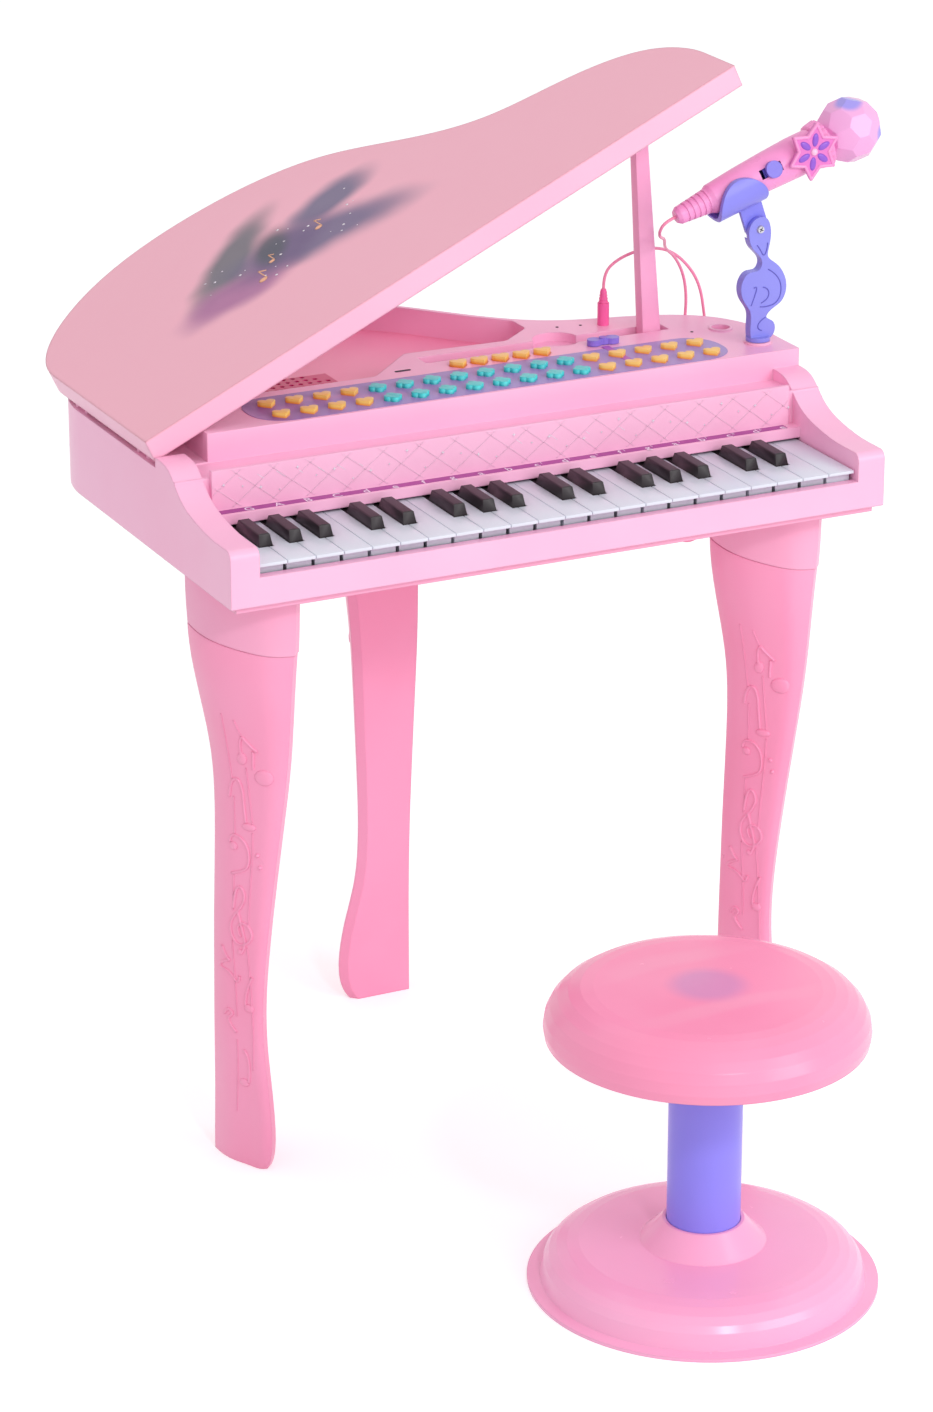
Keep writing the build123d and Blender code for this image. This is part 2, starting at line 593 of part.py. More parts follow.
# ---- buttons --------------------------------------------------------------------------------
def button(make, width, x, y):
    """A button: cap, stem through the deck and flange under it."""
    under = DECK_HEIGHT - WALL - FLANGE_GAP
    cap = extrude(make(width, 0), DECK_HEIGHT + BUTTON_RISE - under)
    rim = extrude(make(width, BUTTON_CLEARANCE + BUTTON_FLANGE), -FLANGE_THICK)
    return Pos(x, y, under) * (cap + rim)


def heart_buttons():
    return Compound(children=[button(m, w, x, y) for m, w, x, y in all_buttons() if m is heart])


def clover_buttons():
    return Compound(children=[button(m, w, x, y) for m, w, x, y in all_buttons() if m is clover])


def power_switch():
    """A bow that slides along its slot."""
    bow = [Pos(s * SWITCH_SPAN / 2, 0) * Ellipse(SWITCH_LOBE, SWITCH_LOBE * 0.9) for s in (-1, 1)]
    bow = bow[0] + bow[1] + Rectangle(SWITCH_SPAN, SWITCH_LOBE)
    z = DECK_HEIGHT + 0.3
    under = DECK_HEIGHT - WALL - FLANGE_GAP
    knob = Pos(SWITCH_X, SWITCH_Y, z) * extrude(bow, 4.2)
    knob += Pos(SWITCH_X, SWITCH_Y, z) * extrude(Circle(3), 5)
    knob += box(SWITCH_X - 4, SWITCH_X + 4, SWITCH_Y - 1.6, SWITCH_Y + 1.6, under - 1, z + 1)
    knob += box(SWITCH_X - 7, SWITCH_X + 7, SWITCH_Y - 3.6, SWITCH_Y + 3.6, under - FLANGE_THICK, under)
    return knob


# ---- lid and prop ---------------------------------------------------------------------------
def swing(shape):
    """Opens the lid, drawn flat with its top left edge on the Y axis."""
    return Pos(LID_EDGE_X, 0, LID_EDGE_Z) * Rot(0, -LID_ANGLE, 0) * shape


def lid():
    angle = radians(LID_ANGLE)
    shell = prism(lid_plan(), -LID_SKIRT, 0) - prism(lid_plan(LID_THICK), -LID_SKIRT - 1, -LID_THICK)
    # the hinge's axis in the flat lid's frame
    dx = HINGE_X - LID_EDGE_X
    dz = HINGE_Z - LID_EDGE_Z
    s = dx * cos(angle) + dz * sin(angle)
    h = dz * cos(angle) - dx * sin(angle)
    for y in HINGE_PLACES:
        half = HINGE_LENGTH / 2
        shell += box(s - 3.4, s + 3.4, y - half, y + half, h, -LID_THICK + 1)
        shell += rod_y(s, h, y - half, y + half, 4.2)
        shell += rod_y(s, h, y - half - 4, y + half + 4, HINGE_PIN)
    return swing(shell)


def lid_pad():
    """The block under the lid that rests on the prop's tip."""
    tip_x = PROP_X - PROP_LENGTH * sin(radians(PROP_LEAN))
    tip_z = PROP_Z + PROP_LENGTH * cos(radians(PROP_LEAN)) + PAD_GAP
    pad = box(tip_x - PAD_LENGTH / 2, tip_x + PAD_LENGTH / 2, PROP_Y - PAD_WIDTH / 2,
              PROP_Y + PAD_WIDTH / 2, tip_z, TALL)
    return pad & swing(box(-50, 600, -50, 600, -900, -LID_THICK))


def prop_post():
    tip = Pos(0, 0, PROP_LENGTH) * Rectangle(PROP_TIP, PROP_TIP - 1)
    root = Pos(0, 0, 2) * Rectangle(PROP_BASE, PROP_THICK)
    post = loft([root, tip]) + rod_y(0, 0, -PROP_THICK / 2, PROP_THICK / 2, PROP_HUB)
    reach = GROOVE_WIDTH / 2 + WALL
    post += rod_y(0, 0, -reach, reach, PROP_PIN)
    return fold(post)


# ---- microphone -----------------------------------------------------------------------------
def tilt(shape):
    """Moves a shape drawn along +X from the microphone's tail to its place."""
    return Pos(MIC_TAIL_X, STAND_Y, MIC_TAIL_Z) * Rot(0, -MIC_TILT, 0) * shape


def turned(points):
    """A solid turned about the X axis from (x, radius) points."""
    return revolve(make_face(Polyline(*points, close=True)), Axis.X)


STAND_LEFT = (
    (215, 84), (214.4, 92), (214, 103), (209, 111), (206.4, 119), (208, 127), (213, 131.5),
    (220, 132.5), (222.5, 138), (220, 143), (214.5, 149), (211.8, 157), (212, 163), (217, 169.5))
STAND_RIGHT = (
    (225, 169.5), (228.6, 163), (229, 155), (227.5, 147), (227, 142.5), (233, 136.5), (240, 128),
    (242.4, 118), (238.5, 108), (228.5, 101), (227, 98.4), (231.5, 95), (234, 89), (232, 84))


def mic_stand():
    """A flat scrolled stand on a round peg."""
    outline = Spline(*STAND_LEFT, *STAND_RIGHT, periodic=True)
    plate = Pos(0, STAND_Y + STAND_THICK / 2, 0) * extrude(Plane.XZ * make_face(outline), STAND_THICK)
    plate &= box(-400, 400, -400, 400, STAND_FOOT, TALL)
    plate += rod(STAND_X, STAND_Y, STAND_FOOT, STAND_FOOT + 3, STAND_BOSS - 1.2)
    plate += rod(STAND_X, STAND_Y, DECK_HEIGHT + 1.5 - STAND_PIN_LENGTH, STAND_FOOT + 1, STAND_PIN)
    plate -= rod_y(TILT_X, TILT_Z, STAND_Y + 0.2, STAND_Y + 20, 10.5)
    plate += rod_y(TILT_X, TILT_Z, STAND_Y - 4.5, STAND_Y + 3.3, TILT_SCREW)
    return plate


def mic_clamp():
    """A half-round clip with a tab for the tilt screw."""
    half = CLAMP_ROUND
    clip = Pos(CLAMP_PLACE, 0, 0) * Rot(0, 90, 0) * Cylinder(CLAMP_OUTSIDE, 2 * half)
    clip &= Pos(CLAMP_PLACE, 0, -10) * Rot(90, 0, 0) * Cylinder(half, 80)
    opening = Polyline((0, 0), (CLAMP_OUTSIDE * 1.4, 0), (CLAMP_OUTSIDE * 1.4, CLAMP_OUTSIDE * 1.4),
                       (-CLAMP_OUTSIDE * 1.4, CLAMP_OUTSIDE * 1.4), close=True)
    clip -= Pos(CLAMP_PLACE - half, 0, 0) * extrude(Plane.YZ * make_face(opening), 2 * half)
    # tab from the clip down to the screw, on the far side of the stand's plate
    dx = TILT_X - MIC_TAIL_X
    dz = TILT_Z - MIC_TAIL_Z
    a = radians(MIC_TILT)
    s = dx * cos(a) + dz * sin(a)
    h = dz * cos(a) - dx * sin(a)
    tab = box(s - 9, s + 8.5, 0.5, STAND_THICK / 2, h, -CLAMP_OUTSIDE + 3)
    tab += rod_y(s, h, 0.5, STAND_THICK / 2, 8.5)
    clip += tab
    clip -= Pos(CLAMP_PLACE, 0, 0) * Rot(0, 90, 0) * Cylinder(CLAMP_INSIDE, 60)
    clip -= rod_y(s, h, -1, 9, TILT_SCREW + 0.3)
    return tilt(clip)


def mic_radius(x):
    """The grip's radius at a distance from its tail."""
    knots = ((0, 4.6), (2.5, 6.4), (26, 8.9), (29, 10.6), (52, 12.4), (75, 13.6), (97, 14.4),
             (MIC_NECK, 14.0))
    for (xa, ra), (xb, rb) in zip(knots, knots[1:]):
        if x <= xb:
            return ra + (rb - ra) * (x - xa) / (xb - xa)
    return knots[-1][1]


def mic_body():
    stops = [0, 2.5, 26, 29, 40, 52, 64, 75, 86, 97, 107, MIC_NECK]
    outside = turned([(0, 0)] + [(x, mic_radius(x)) for x in stops] + [(MIC_NECK, 0)])
    for k in range(5):
        x = 7 + 4.2 * k
        r = mic_radius(x)
        outside -= turned([(x - 0.9, r + 2), (x - 0.6, r - 0.6), (x + 0.6, r - 0.6), (x + 0.9, r + 2)])
    inner = [x for x in stops if 20 < x < MIC_NECK] + [MIC_NECK + 1]
    outside -= turned([(inner[0], 0)] + [(x, mic_radius(x) - MIC_WALL) for x in inner]
                      + [(inner[-1], 0)])
    slot = box(SLIDER_PLACE - 9.5, SLIDER_PLACE + 7.5, -20, -8, -3.4, 3.4)
    return tilt(outside - Rot(-SLIDER_TURN, 0, 0) * slot)


def mic_switch():
    """Round-ended slider in the grip's slot, at the rear end of its travel."""
    r = mic_radius(SLIDER_PLACE)
    knob = Pos(SLIDER_PLACE, -r - 1.3, 0) * Rot(90, 0, 0) * Cylinder(6, 4.2)
    knob -= Pos(SLIDER_PLACE, 0, 0) * Rot(0, 90, 0) * Cylinder(r + 0.7, 40)
    knob += box(SLIDER_PLACE - 4.5, SLIDER_PLACE + 2.2, -r - 1.5, -r + 4.4, -2.9, 2.9)
    knob += box(SLIDER_PLACE - 6, SLIDER_PLACE + 4, -r + MIC_WALL + 1.2, -r + MIC_WALL + 2.4, -3.6, 3.6)
    return tilt(Rot(-SLIDER_TURN, 0, 0) * knob)


def ball_directions():
    """The twelve and twenty directions of a football's patches."""
    g = (1 + 5 ** 0.5) / 2
    few = [(0, a, b * g) for a in (-1, 1) for b in (-1, 1)]
    many = [(0, a / g, b * g) for a in (-1, 1) for b in (-1, 1)]
    turn = [(x, y, z) for x, y, z in few] + [(y, z, x) for x, y, z in few] + [(z, x, y) for x, y, z in few]
    more = [(x, z, y) for x, y, z in many] + [(y, x, z) for x, y, z in many] + [(z, y, x) for x, y, z in many]
    more += [(a, b, c) for a in (-1, 1) for b in (-1, 1) for c in (-1, 1)]
    return turn + more


def mic_head():
    """A many-sided hollow ball on a tube that fits in the grip."""
    ball = Box(3 * MIC_BALL, 3 * MIC_BALL, 3 * MIC_BALL)
    for x, y, z in ball_directions():
        outwards = Vector(x, y, z).normalized()
        side = Plane(origin=outwards * MIC_FACET, z_dir=outwards)
        ball -= side * Pos(0, 0, 2 * MIC_BALL) * Box(9 * MIC_BALL, 9 * MIC_BALL, 4 * MIC_BALL)
    ball -= Sphere(MIC_FACET - MIC_WALL)
    ball = Pos(MIC_LENGTH, 0, 0) * Rot(0, 9, 0) * ball
    ball -= box(0, MIC_NECK + 0.2, -50, 50, -50, 50)
    r = mic_radius(MIC_NECK) - MIC_WALL - 0.3
    tube = Pos(MIC_NECK - 2, 0, 0) * Rot(0, 90, 0) * (Cylinder(r, 20) - Cylinder(r - 2, 30))
    return tilt(ball + tube)


def mic_plug():
    z = DECK_HEIGHT
    plug = rod(PLUG_X, PLUG_Y, z, z + PLUG_BODY, PLUG_RADIUS)
    middle = z + PLUG_BODY + PLUG_RELIEF / 2
    plug += Pos(PLUG_X, PLUG_Y, middle) * Cone(PLUG_RADIUS - 1, 2.0, PLUG_RELIEF)
    return plug + rod(PLUG_X, PLUG_Y, z - 11, z, PLUG_PIN)


def bend_radii(points):
    """The widest bends that fit each corner of a route."""
    radii = []
    for a, b, c in zip(points, points[1:], points[2:]):
        u = Vector(*b) - Vector(*a)
        v = Vector(*c) - Vector(*b)
        half = radians(u.get_angle(v)) / 2
        radii.append(0.45 * min(u.length, v.length) / tan(half))
    return radii


def mic_cord():
    points = CORD_ROUTE
    radii = bend_radii(points)
    print("cord bends", [round(r, 1) for r in radii])
    corners = []
    for p, r, a, c in zip(points[1:], radii, points, points[2:]):
        b = Vector(*p)
        u = (Vector(*a) - b).normalized()
        v = (Vector(*c) - b).normalized()
        reach = r * tan(radians(180 - u.get_angle(v)) / 2)
        corners.append((b + u * reach, b + v * reach, u))
    edges = []
    last = Vector(*points[0])
    for start, end, u in corners:
        edges.append(Line(last, start))
        edges.append(TangentArc(start, end, tangent=-u))
        last = end
    edges.append(Line(last, Vector(*points[-1])))
    path = Wire(edges)
    print("cord length", round(path.length, 1))
    section = Plane(origin=path @ 0, z_dir=path % 0) * Circle(CORD_RADIUS)
    tube = sweep(section, path=path)
    print("cord volume / section x length", round(tube.volume / (pi * CORD_RADIUS ** 2 * path.length), 4))
    return tube


# ---- stool ----------------------------------------------------------------------------------
def turned_up(points):
    """A solid turned about Z from (radius, height) points above the floor."""
    face = make_face(Polyline(*points, close=True))
    return Pos(STOOL_X, STOOL_Y, FLOOR) * revolve(Plane.XZ * face, Axis.Z)


def dome(radius, low, high, inset=0.0):
    """Points of a domed edge and a nearly flat top, from the wall inwards, or of its inside."""
    wide, tall = DOME_ROUND - inset, high - low - 1.5
    edge = [(radius - inset - wide * (1 - cos(k * pi / 12)), low + tall * sin(k * pi / 12) - inset)
            for k in range(1, 7)]
    return [(radius - inset, low)] + edge


def stool_base():
    hole = COLUMN_RADIUS + COLUMN_GAP
    wall = SEAT_RADIUS - 0.5
    outer = [(RIM_RADIUS, 0), (RIM_RADIUS, 2.2), (wall + 1.5, 3.2)] + dome(wall, 9.0, BASE_TOP)
    outer += [(41, BASE_TOP), (39, BASE_TOP + 2), (COLUMN_RADIUS + 2.6, COLLAR_TOP)]
    inner = [(hole, COLLAR_TOP), (hole, 12), (10, 12), (10, 9.5), (36, 9.5), (36, BASE_TOP - WALL - 1)]
    inner += dome(wall, 9.0, BASE_TOP, WALL)[::-1] + [(wall - WALL, 2.0), (wall + 0.5, 0)]
    return turned_up(outer + inner)


def stool_column():
    r = COLUMN_RADIUS
    return turned_up([(r, 12.2), (r, 190), (r - WALL, 190), (r - WALL, 12.2)])


def stool_seat():
    hole = COLUMN_RADIUS + COLUMN_GAP
    foot = SEAT_UNDER + 6
    top = dome(SEAT_RADIUS, foot, SEAT_TOP) + [(0, SEAT_TOP)]
    under = [(0, SEAT_TOP - WALL - 1), (hole - 3, SEAT_TOP - WALL - 1), (hole - 3, 190.2), (hole, 190.2),
             (hole, SEAT_UNDER + 2), (hole + 2.6, SEAT_UNDER + 2), (hole + 2.6, SEAT_TOP - WALL - 1)]
    under += dome(SEAT_RADIUS, foot, SEAT_TOP, WALL)[::-1]
    under += [(SEAT_RADIUS - WALL, SEAT_UNDER), (SEAT_RADIUS - 1, SEAT_UNDER)]
    return turned_up(top + under)


# ---- all of it ------------------------------------------------------------------------------
def all_parts():
    """Every node by name, in the frame of the case."""
    left, right, rear = leg_places()
    support = leg()
    parts = {
        "upper_case": upper_case(), "lower_case": lower_case(), "leg_left": left * support,
        "leg_right": right * support, "leg_rear": rear * support,
        "lid": Compound(children=[lid(), lid_pad()]),
        "prop_post": prop_post(), "heart_buttons": heart_buttons(),
        "clover_buttons": clover_buttons(), "power_switch": power_switch(),
        "circuit_board": circuit_board(), "speaker": speaker(), "battery_door": battery_door(),
        "mic_stand": mic_stand(), "mic_clamp": mic_clamp(), "mic_body": mic_body(),
        "mic_head": mic_head(), "mic_switch": mic_switch(), "mic_cord": mic_cord(),
        "mic_plug": mic_plug(), "stool_seat": stool_seat(), "stool_column": stool_column(),
        "stool_base": stool_base()}
    for key in range(WHITE_KEYS):
        parts[f"white_key_{key + 1:02d}"] = white_key(key)
    blacks = [key for key in range(WHITE_KEYS - 1) if black_offset(key) is not None]
    for number, key in enumerate(blacks, 1):
        parts[f"black_key_{number:02d}"] = black_key(key)
    return parts


def floor_middle(parts):
    """The middle of the set's footprint on the floor, without the free cord."""
    boxes = [shape.bounding_box() for name, shape in parts.items()
             if name not in ("mic_cord", "mic_plug")]
    x0 = min(b.min.X for b in boxes)
    x1 = max(b.max.X for b in boxes)
    y0 = min(b.min.Y for b in boxes)
    y1 = max(b.max.Y for b in boxes)
    z0 = min(b.min.Z for b in boxes)
    return (x0 + x1) / 2, (y0 + y1) / 2, z0


def export_all():
    parts = all_parts()
    x, y, z = floor_middle(parts)
    os.makedirs("parts", exist_ok=True)
    for name, shape in parts.items():
        export_step(Pos(-x, -y, -z) * shape, f"parts/{name}.step")
    print("shift", round(-x, 3), round(-y, 3), round(-z, 3))


if __name__ == "__main__":
    export_all()
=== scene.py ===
# %% [markdown]
# # A toy grand-piano keyboard with a microphone and a stool
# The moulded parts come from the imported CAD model, which is loaded as a fixed frame in metres.
# This lesson dresses that frame: it gives every part a plastic with its own colour and surface,
# rounds the edges that a hand would feel, and adds the small things that the solids leave out,
# such as printed strips, letters, raised notes, screws and the soft microphone lead.

# %% Load the frame
import math
import bmesh
import bpy
from mathutils import Matrix, Vector
from mathutils.bvhtree import BVHTree


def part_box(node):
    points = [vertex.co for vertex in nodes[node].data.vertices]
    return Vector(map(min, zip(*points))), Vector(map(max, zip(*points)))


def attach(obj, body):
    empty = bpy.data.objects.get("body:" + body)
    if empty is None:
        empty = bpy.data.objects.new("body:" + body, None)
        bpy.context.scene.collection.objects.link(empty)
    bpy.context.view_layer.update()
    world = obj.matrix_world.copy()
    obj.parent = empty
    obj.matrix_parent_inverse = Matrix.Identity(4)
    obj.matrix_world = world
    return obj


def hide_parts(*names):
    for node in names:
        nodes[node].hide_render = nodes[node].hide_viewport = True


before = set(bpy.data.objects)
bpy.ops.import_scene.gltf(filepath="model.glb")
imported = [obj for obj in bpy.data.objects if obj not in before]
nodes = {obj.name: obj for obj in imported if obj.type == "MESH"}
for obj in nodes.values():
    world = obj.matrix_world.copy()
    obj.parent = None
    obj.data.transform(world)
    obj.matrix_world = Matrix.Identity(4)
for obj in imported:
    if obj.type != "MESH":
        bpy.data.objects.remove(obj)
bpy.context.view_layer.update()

MM = 0.001

# %% [markdown]
# ## One measuring point
# A keyboard maker measures from the middle of the front rail. The same is done here: the first and
# the last white key give the middle, and the upper case gives the front face and the underside.
# From there every place below is written in millimetres, as on a workshop drawing.

# %% Find the measuring point
first_key, last_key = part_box("white_key_01"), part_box("white_key_22")
case_low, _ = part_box("upper_case")
RAIL = Vector(((first_key[0].x + last_key[1].x) / 2, case_low.y, case_low.z))
FLOOR = -RAIL.z / MM


def spot(x, y, z):
    """A place in millimetres from the middle of the front rail, in the frame's metres."""
    return RAIL + Vector((x, y, z)) * MM


print("front rail at", [round(v, 4) for v in RAIL], "floor", round(FLOOR, 1))

# %% [markdown]
# ## Writing a material with nodes
# Moulded plastic looks plain, but it isn't one flat colour. The colour drifts a little over a wall,
# the gloss is uneven, and the surface has a very fine grain. A few small functions keep the node
# trees short: one adds a node and wires it, one blends two colours, and one makes a soft step.

# %% Helpers for node trees
def paint(red, green, blue):
    """A colour from 0 to 255, as on a paint card, in the linear values that shaders use."""
    def linear(v):
        v /= 255
        return v / 12.92 if v <= 0.04045 else ((v + 0.055) / 1.055) ** 2.4
    return linear(red), linear(green), linear(blue), 1.0


def add(material, kind, inputs, **settings):
    """Adds a node, and fills its inputs with values or with other nodes' outputs."""
    made = material.node_tree.nodes.new(kind)
    for field, value in settings.items():
        setattr(made, field, value)
    for socket, value in inputs.items():
        if isinstance(value, bpy.types.NodeSocket):
            material.node_tree.links.new(value, made.inputs[socket])
        else:
            made.inputs[socket].default_value = value
    return made


def mix(material, factor, a, b):
    """Colour a where the factor is 0, and colour b where it is 1."""
    return add(material, "ShaderNodeMix", {0: factor, 6: a, 7: b}, data_type="RGBA").outputs[2]


def step(material, value, start, end):
    """0 on the start's side and 1 on the end's side, with a soft change between."""
    return add(material, "ShaderNodeMapRange", {"Value": value, "From Min": start, "From Max": end},
               interpolation_type="SMOOTHSTEP").outputs["Result"]


def maths(material, how, a, b=0.0):
    return add(material, "ShaderNodeMath", {0: a, 1: b}, operation=how).outputs[0]


# %% [markdown]
# ## Moulded plastic
# The grain is noise in a Bump node. The Bevel node rounds the look of every hard edge by the radius
# that the mould had, without changing the CAD mesh, which has to stay as it is. Constant
# numbers go straight into the shader's own sockets, so that they are kept when the model is exported.

# %% The plastic
def plastic(name, colour, deep, rough=0.36, edge=0.9, grain=0.25, coat=0.0, decorate=None):
    """A moulded plastic. decorate(material, place, colour) may paint on it."""
    material = bpy.data.materials.new(name)
    material.use_nodes = True
    shader = material.node_tree.nodes["Principled BSDF"]
    links = material.node_tree.links
    place = add(material, "ShaderNodeTexCoord", {}).outputs["Object"]
    drift = add(material, "ShaderNodeTexNoise", {"Vector": place, "Scale": 7.0, "Detail": 3.0})
    tone = mix(material, step(material, drift.outputs["Fac"], 0.3, 0.72), deep, colour)
    if decorate:
        tone = decorate(material, place, tone)
    links.new(tone, shader.inputs["Base Color"])
    haze = add(material, "ShaderNodeTexNoise", {"Vector": place, "Scale": 60.0, "Detail": 4.0})
    gloss = add(material, "ShaderNodeMapRange",
                {"Value": haze.outputs["Fac"], "To Min": rough - 0.06, "To Max": rough + 0.07})
    links.new(gloss.outputs["Result"], shader.inputs["Roughness"])
    skin = add(material, "ShaderNodeTexNoise", {"Vector": place, "Scale": 1500.0, "Detail": 2.0})
    rounding = add(material, "ShaderNodeBevel", {"Radius": edge * MM}, samples=6)
    bump = add(material, "ShaderNodeBump", {"Strength": grain, "Distance": 0.00006,
                                            "Height": skin.outputs["Fac"],
                                            "Normal": rounding.outputs["Normal"]})
    links.new(bump.outputs["Normal"], shader.inputs["Normal"])
    shader.inputs["IOR"].default_value = 1.49
    if coat:
        shader.inputs["Coat Weight"].default_value = coat
        shader.inputs["Coat Roughness"].default_value = 0.12
    return material


# %% [markdown]
# ## Dressing a CAD node
# A node whose shape is right only needs a new finish. Its old material slot is cleared first,
# because an imported slot keeps the plain grey material under it.

# %% Give nodes a finish
def dress(material, *names):
    for name in names:
        nodes[name].data.materials.clear()
        nodes[name].data.materials.append(material)
    print(material.name, "on", ", ".join(names[:4]), "..." if len(names) > 4 else "")


# %% [markdown]
# ## The pink of the case
# The upper case is one moulding. The sunken bowl is painted a deeper, more saturated pink: painted
# shade and bounce light in the recess. The speaker grille in it has a dark magenta inlay behind its
# holes. Masks on Object coordinates paint both, so they follow the case wherever it is moved.

# %% Case plastic with bowl and grille
def inside(material, place, low, high, soft=0.8):
    """1 between two corners given in millimetres from the rail, with a soft border."""
    split = add(material, "ShaderNodeSeparateXYZ", {"Vector": place})
    a, b = spot(*low), spot(*high)
    result = None
    for k, axis in enumerate("XYZ"):
        coordinate = split.outputs[axis]
        for border, sign in ((a[k], 1), (b[k], -1)):
            part = step(material, coordinate, border - sign * soft * MM, border + sign * soft * MM)
            result = part if result is None else maths(material, "MULTIPLY", result, part)
    return result


def bowl_and_grille(material, place, colour):
    bowl = inside(material, place, (-205, 185, 50), (95, 392, 60.6))
    # painted light: the bowl's deeper pink stands for shade and pink bounce in the recess
    colour = mix(material, maths(material, "MULTIPLY", bowl, 0.85), colour, paint(255, 158, 192))
    grille = inside(material, place, (-120, 213, 50), (-54, 267, 61))
    return mix(material, grille, colour, paint(214, 40, 118))


case_pink = plastic("case_pink", paint(252, 190, 221), paint(250, 181, 214), edge=1.3,
                    decorate=bowl_and_grille)
shell_pink = plastic("shell_pink", paint(250, 176, 208), paint(246, 166, 200), edge=1.2)
dress(case_pink, "upper_case")
dress(shell_pink, "lower_case", "battery_door")

# %% [markdown]
# ## Hidden parts
# The circuit board and the speaker are closed in, but the views from below and through the grille
# can catch them. They get a solder-mask green with faint tracks, and black paper pulp.

# %% Board and speaker
def tracks(material, place, colour):
    copper = add(material, "ShaderNodeTexVoronoi", {"Vector": place, "Scale": 160.0},
                 feature="DISTANCE_TO_EDGE")
    return mix(material, step(material, copper.outputs["Distance"], 0.05, 0.02), colour,
               paint(96, 150, 90))


dress(plastic("board_green", paint(44, 98, 52), paint(34, 84, 44), rough=0.42, decorate=tracks),
      "circuit_board")
dress(plastic("speaker_black", paint(42, 42, 46), paint(28, 28, 30), rough=0.7, grain=0.9),
      "speaker")

# %% [markdown]
# ## Finished pieces
# A new piece starts as a bmesh. This function closes it off: faces turned outwards, smooth
# shading with sharp edges kept, a material, and the body that it rides on. The object stays at the
# origin, because the place is in the mesh.

# %% Finish a piece
def finish(name, bm, materials, body, outwards=True, smooth=35):
    if outwards:
        bmesh.ops.recalc_face_normals(bm, faces=bm.faces)
    mesh = bpy.data.meshes.new(name)
    bm.to_mesh(mesh)
    bm.free()
    mesh.shade_smooth()
    mesh.set_sharp_from_angle(angle=math.radians(smooth))
    for material in materials:
        mesh.materials.append(material)
    thing = bpy.data.objects.new(name, mesh)
    bpy.context.scene.collection.objects.link(thing)
    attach(thing, body)
    print(name, len(mesh.polygons), "faces on", body)
    return thing


# %% [markdown]
# ## Rounded copies of CAD parts
# Keys, buttons, legs and the stand have edges that show their rounding from close by. The keys, the
# buttons, the prop and the microphone's ball get rounded copies; the legs and the stand are rounded only
# by the Bevel node of their plastic. For a copy, the CAD triangles are copied, merged and joined into
# large faces, and the Bevel operator rounds every edge that is sharper than a given angle. The copy then
# stands for the node.

# %% Round a copy of a node
def rounded(name, node, radius, material, body, sharp=40, segments=2, keep=None):
    bm = bmesh.new()
    bm.from_mesh(nodes[node].data)
    bmesh.ops.remove_doubles(bm, verts=bm.verts, dist=2e-6)
    bmesh.ops.dissolve_limit(bm, angle_limit=math.radians(1.0), verts=bm.verts, edges=bm.edges)
    hard = [e for e in bm.edges if len(e.link_faces) == 2
            and e.calc_face_angle(0.0) > math.radians(sharp) and (keep is None or keep(e))]
    bmesh.ops.bevel(bm, geom=hard, offset=radius * MM, offset_type="OFFSET", affect="EDGES",
                    segments=segments, profile=0.5, material=-1, clamp_overlap=True)
    bmesh.ops.triangulate(bm, faces=[f for f in bm.faces if len(f.verts) > 4])
    copy = finish(name, bm, [material], body, outwards=False)
    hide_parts(node)
    return copy


def above(height):
    """Keeps the edges that lie wholly above a height over the rail's foot, in millimetres."""
    level = spot(0, 0, height).z
    return lambda edge: all(v.co.z > level for v in edge.verts)

# %% [markdown]
# ## Keys
# White keys are a cool white with thin front lips, and black keys are glossy with a sloping
# front. A light from the side shows their rounded edges, so each key is a rounded copy. One loop
# makes all thirty-seven, because they differ only in the CAD shape that is copied.

# %% Keys
ivory = plastic("key_white", paint(222, 225, 236), paint(215, 218, 231), rough=0.34, edge=0.4,
                grain=0.12)
ebony = plastic("key_black", paint(40, 30, 36), paint(30, 22, 28), rough=0.42, edge=0.4,
                grain=0.08)
for node in sorted(nodes):
    if node.startswith("white_key"):
        rounded(node.replace("key", "keytop"), node, 0.45, ivory, node, keep=above(20))
    elif node.startswith("black_key"):
        rounded(node.replace("key", "keytop"), node, 0.5, ebony, node, keep=above(27.5))

# %% [markdown]
# ## Buttons
# The hearts are a warm yellow with sides painted a darker orange: painted shade down the sides,
# standing for a soft plastic that lets light through at the top. The clovers do the same in
# turquoise. A step on the height makes the change.

# %% Buttons
def painted_side_shade(side_colour):
    """Paints shade on a button: darker from its top face down its side."""
    top = spot(0, 0, 82.7).z

    def decorate(material, place, colour):
        split = add(material, "ShaderNodeSeparateXYZ", {"Vector": place})
        low = step(material, split.outputs["Z"], top - 0.4 * MM, top - 3.2 * MM)
        # painted shade: the side colour from just below the top face downwards
        return mix(material, low, colour, side_colour)
    return decorate


heart_yellow = plastic("heart_yellow", paint(255, 212, 116), paint(254, 202, 98), rough=0.32,
                       edge=0.7, decorate=painted_side_shade(paint(240, 138, 52)))
clover_teal = plastic("clover_teal", paint(72, 218, 216), paint(54, 206, 208), rough=0.32,
                      edge=0.7, decorate=painted_side_shade(paint(24, 160, 172)))
rounded("heart_caps", "heart_buttons", 0.8, heart_yellow, "hearts", keep=above(80))
rounded("clover_caps", "clover_buttons", 0.7, clover_teal, "clovers", keep=above(80))

# %% [markdown]
# ## Plates and printed strips
# The lavender field under the buttons and the note strip are printed foils, a quarter of a
# millimetre thick. A foil is a cube brought to size, with its upright edges bevelled into
# rounded corners.

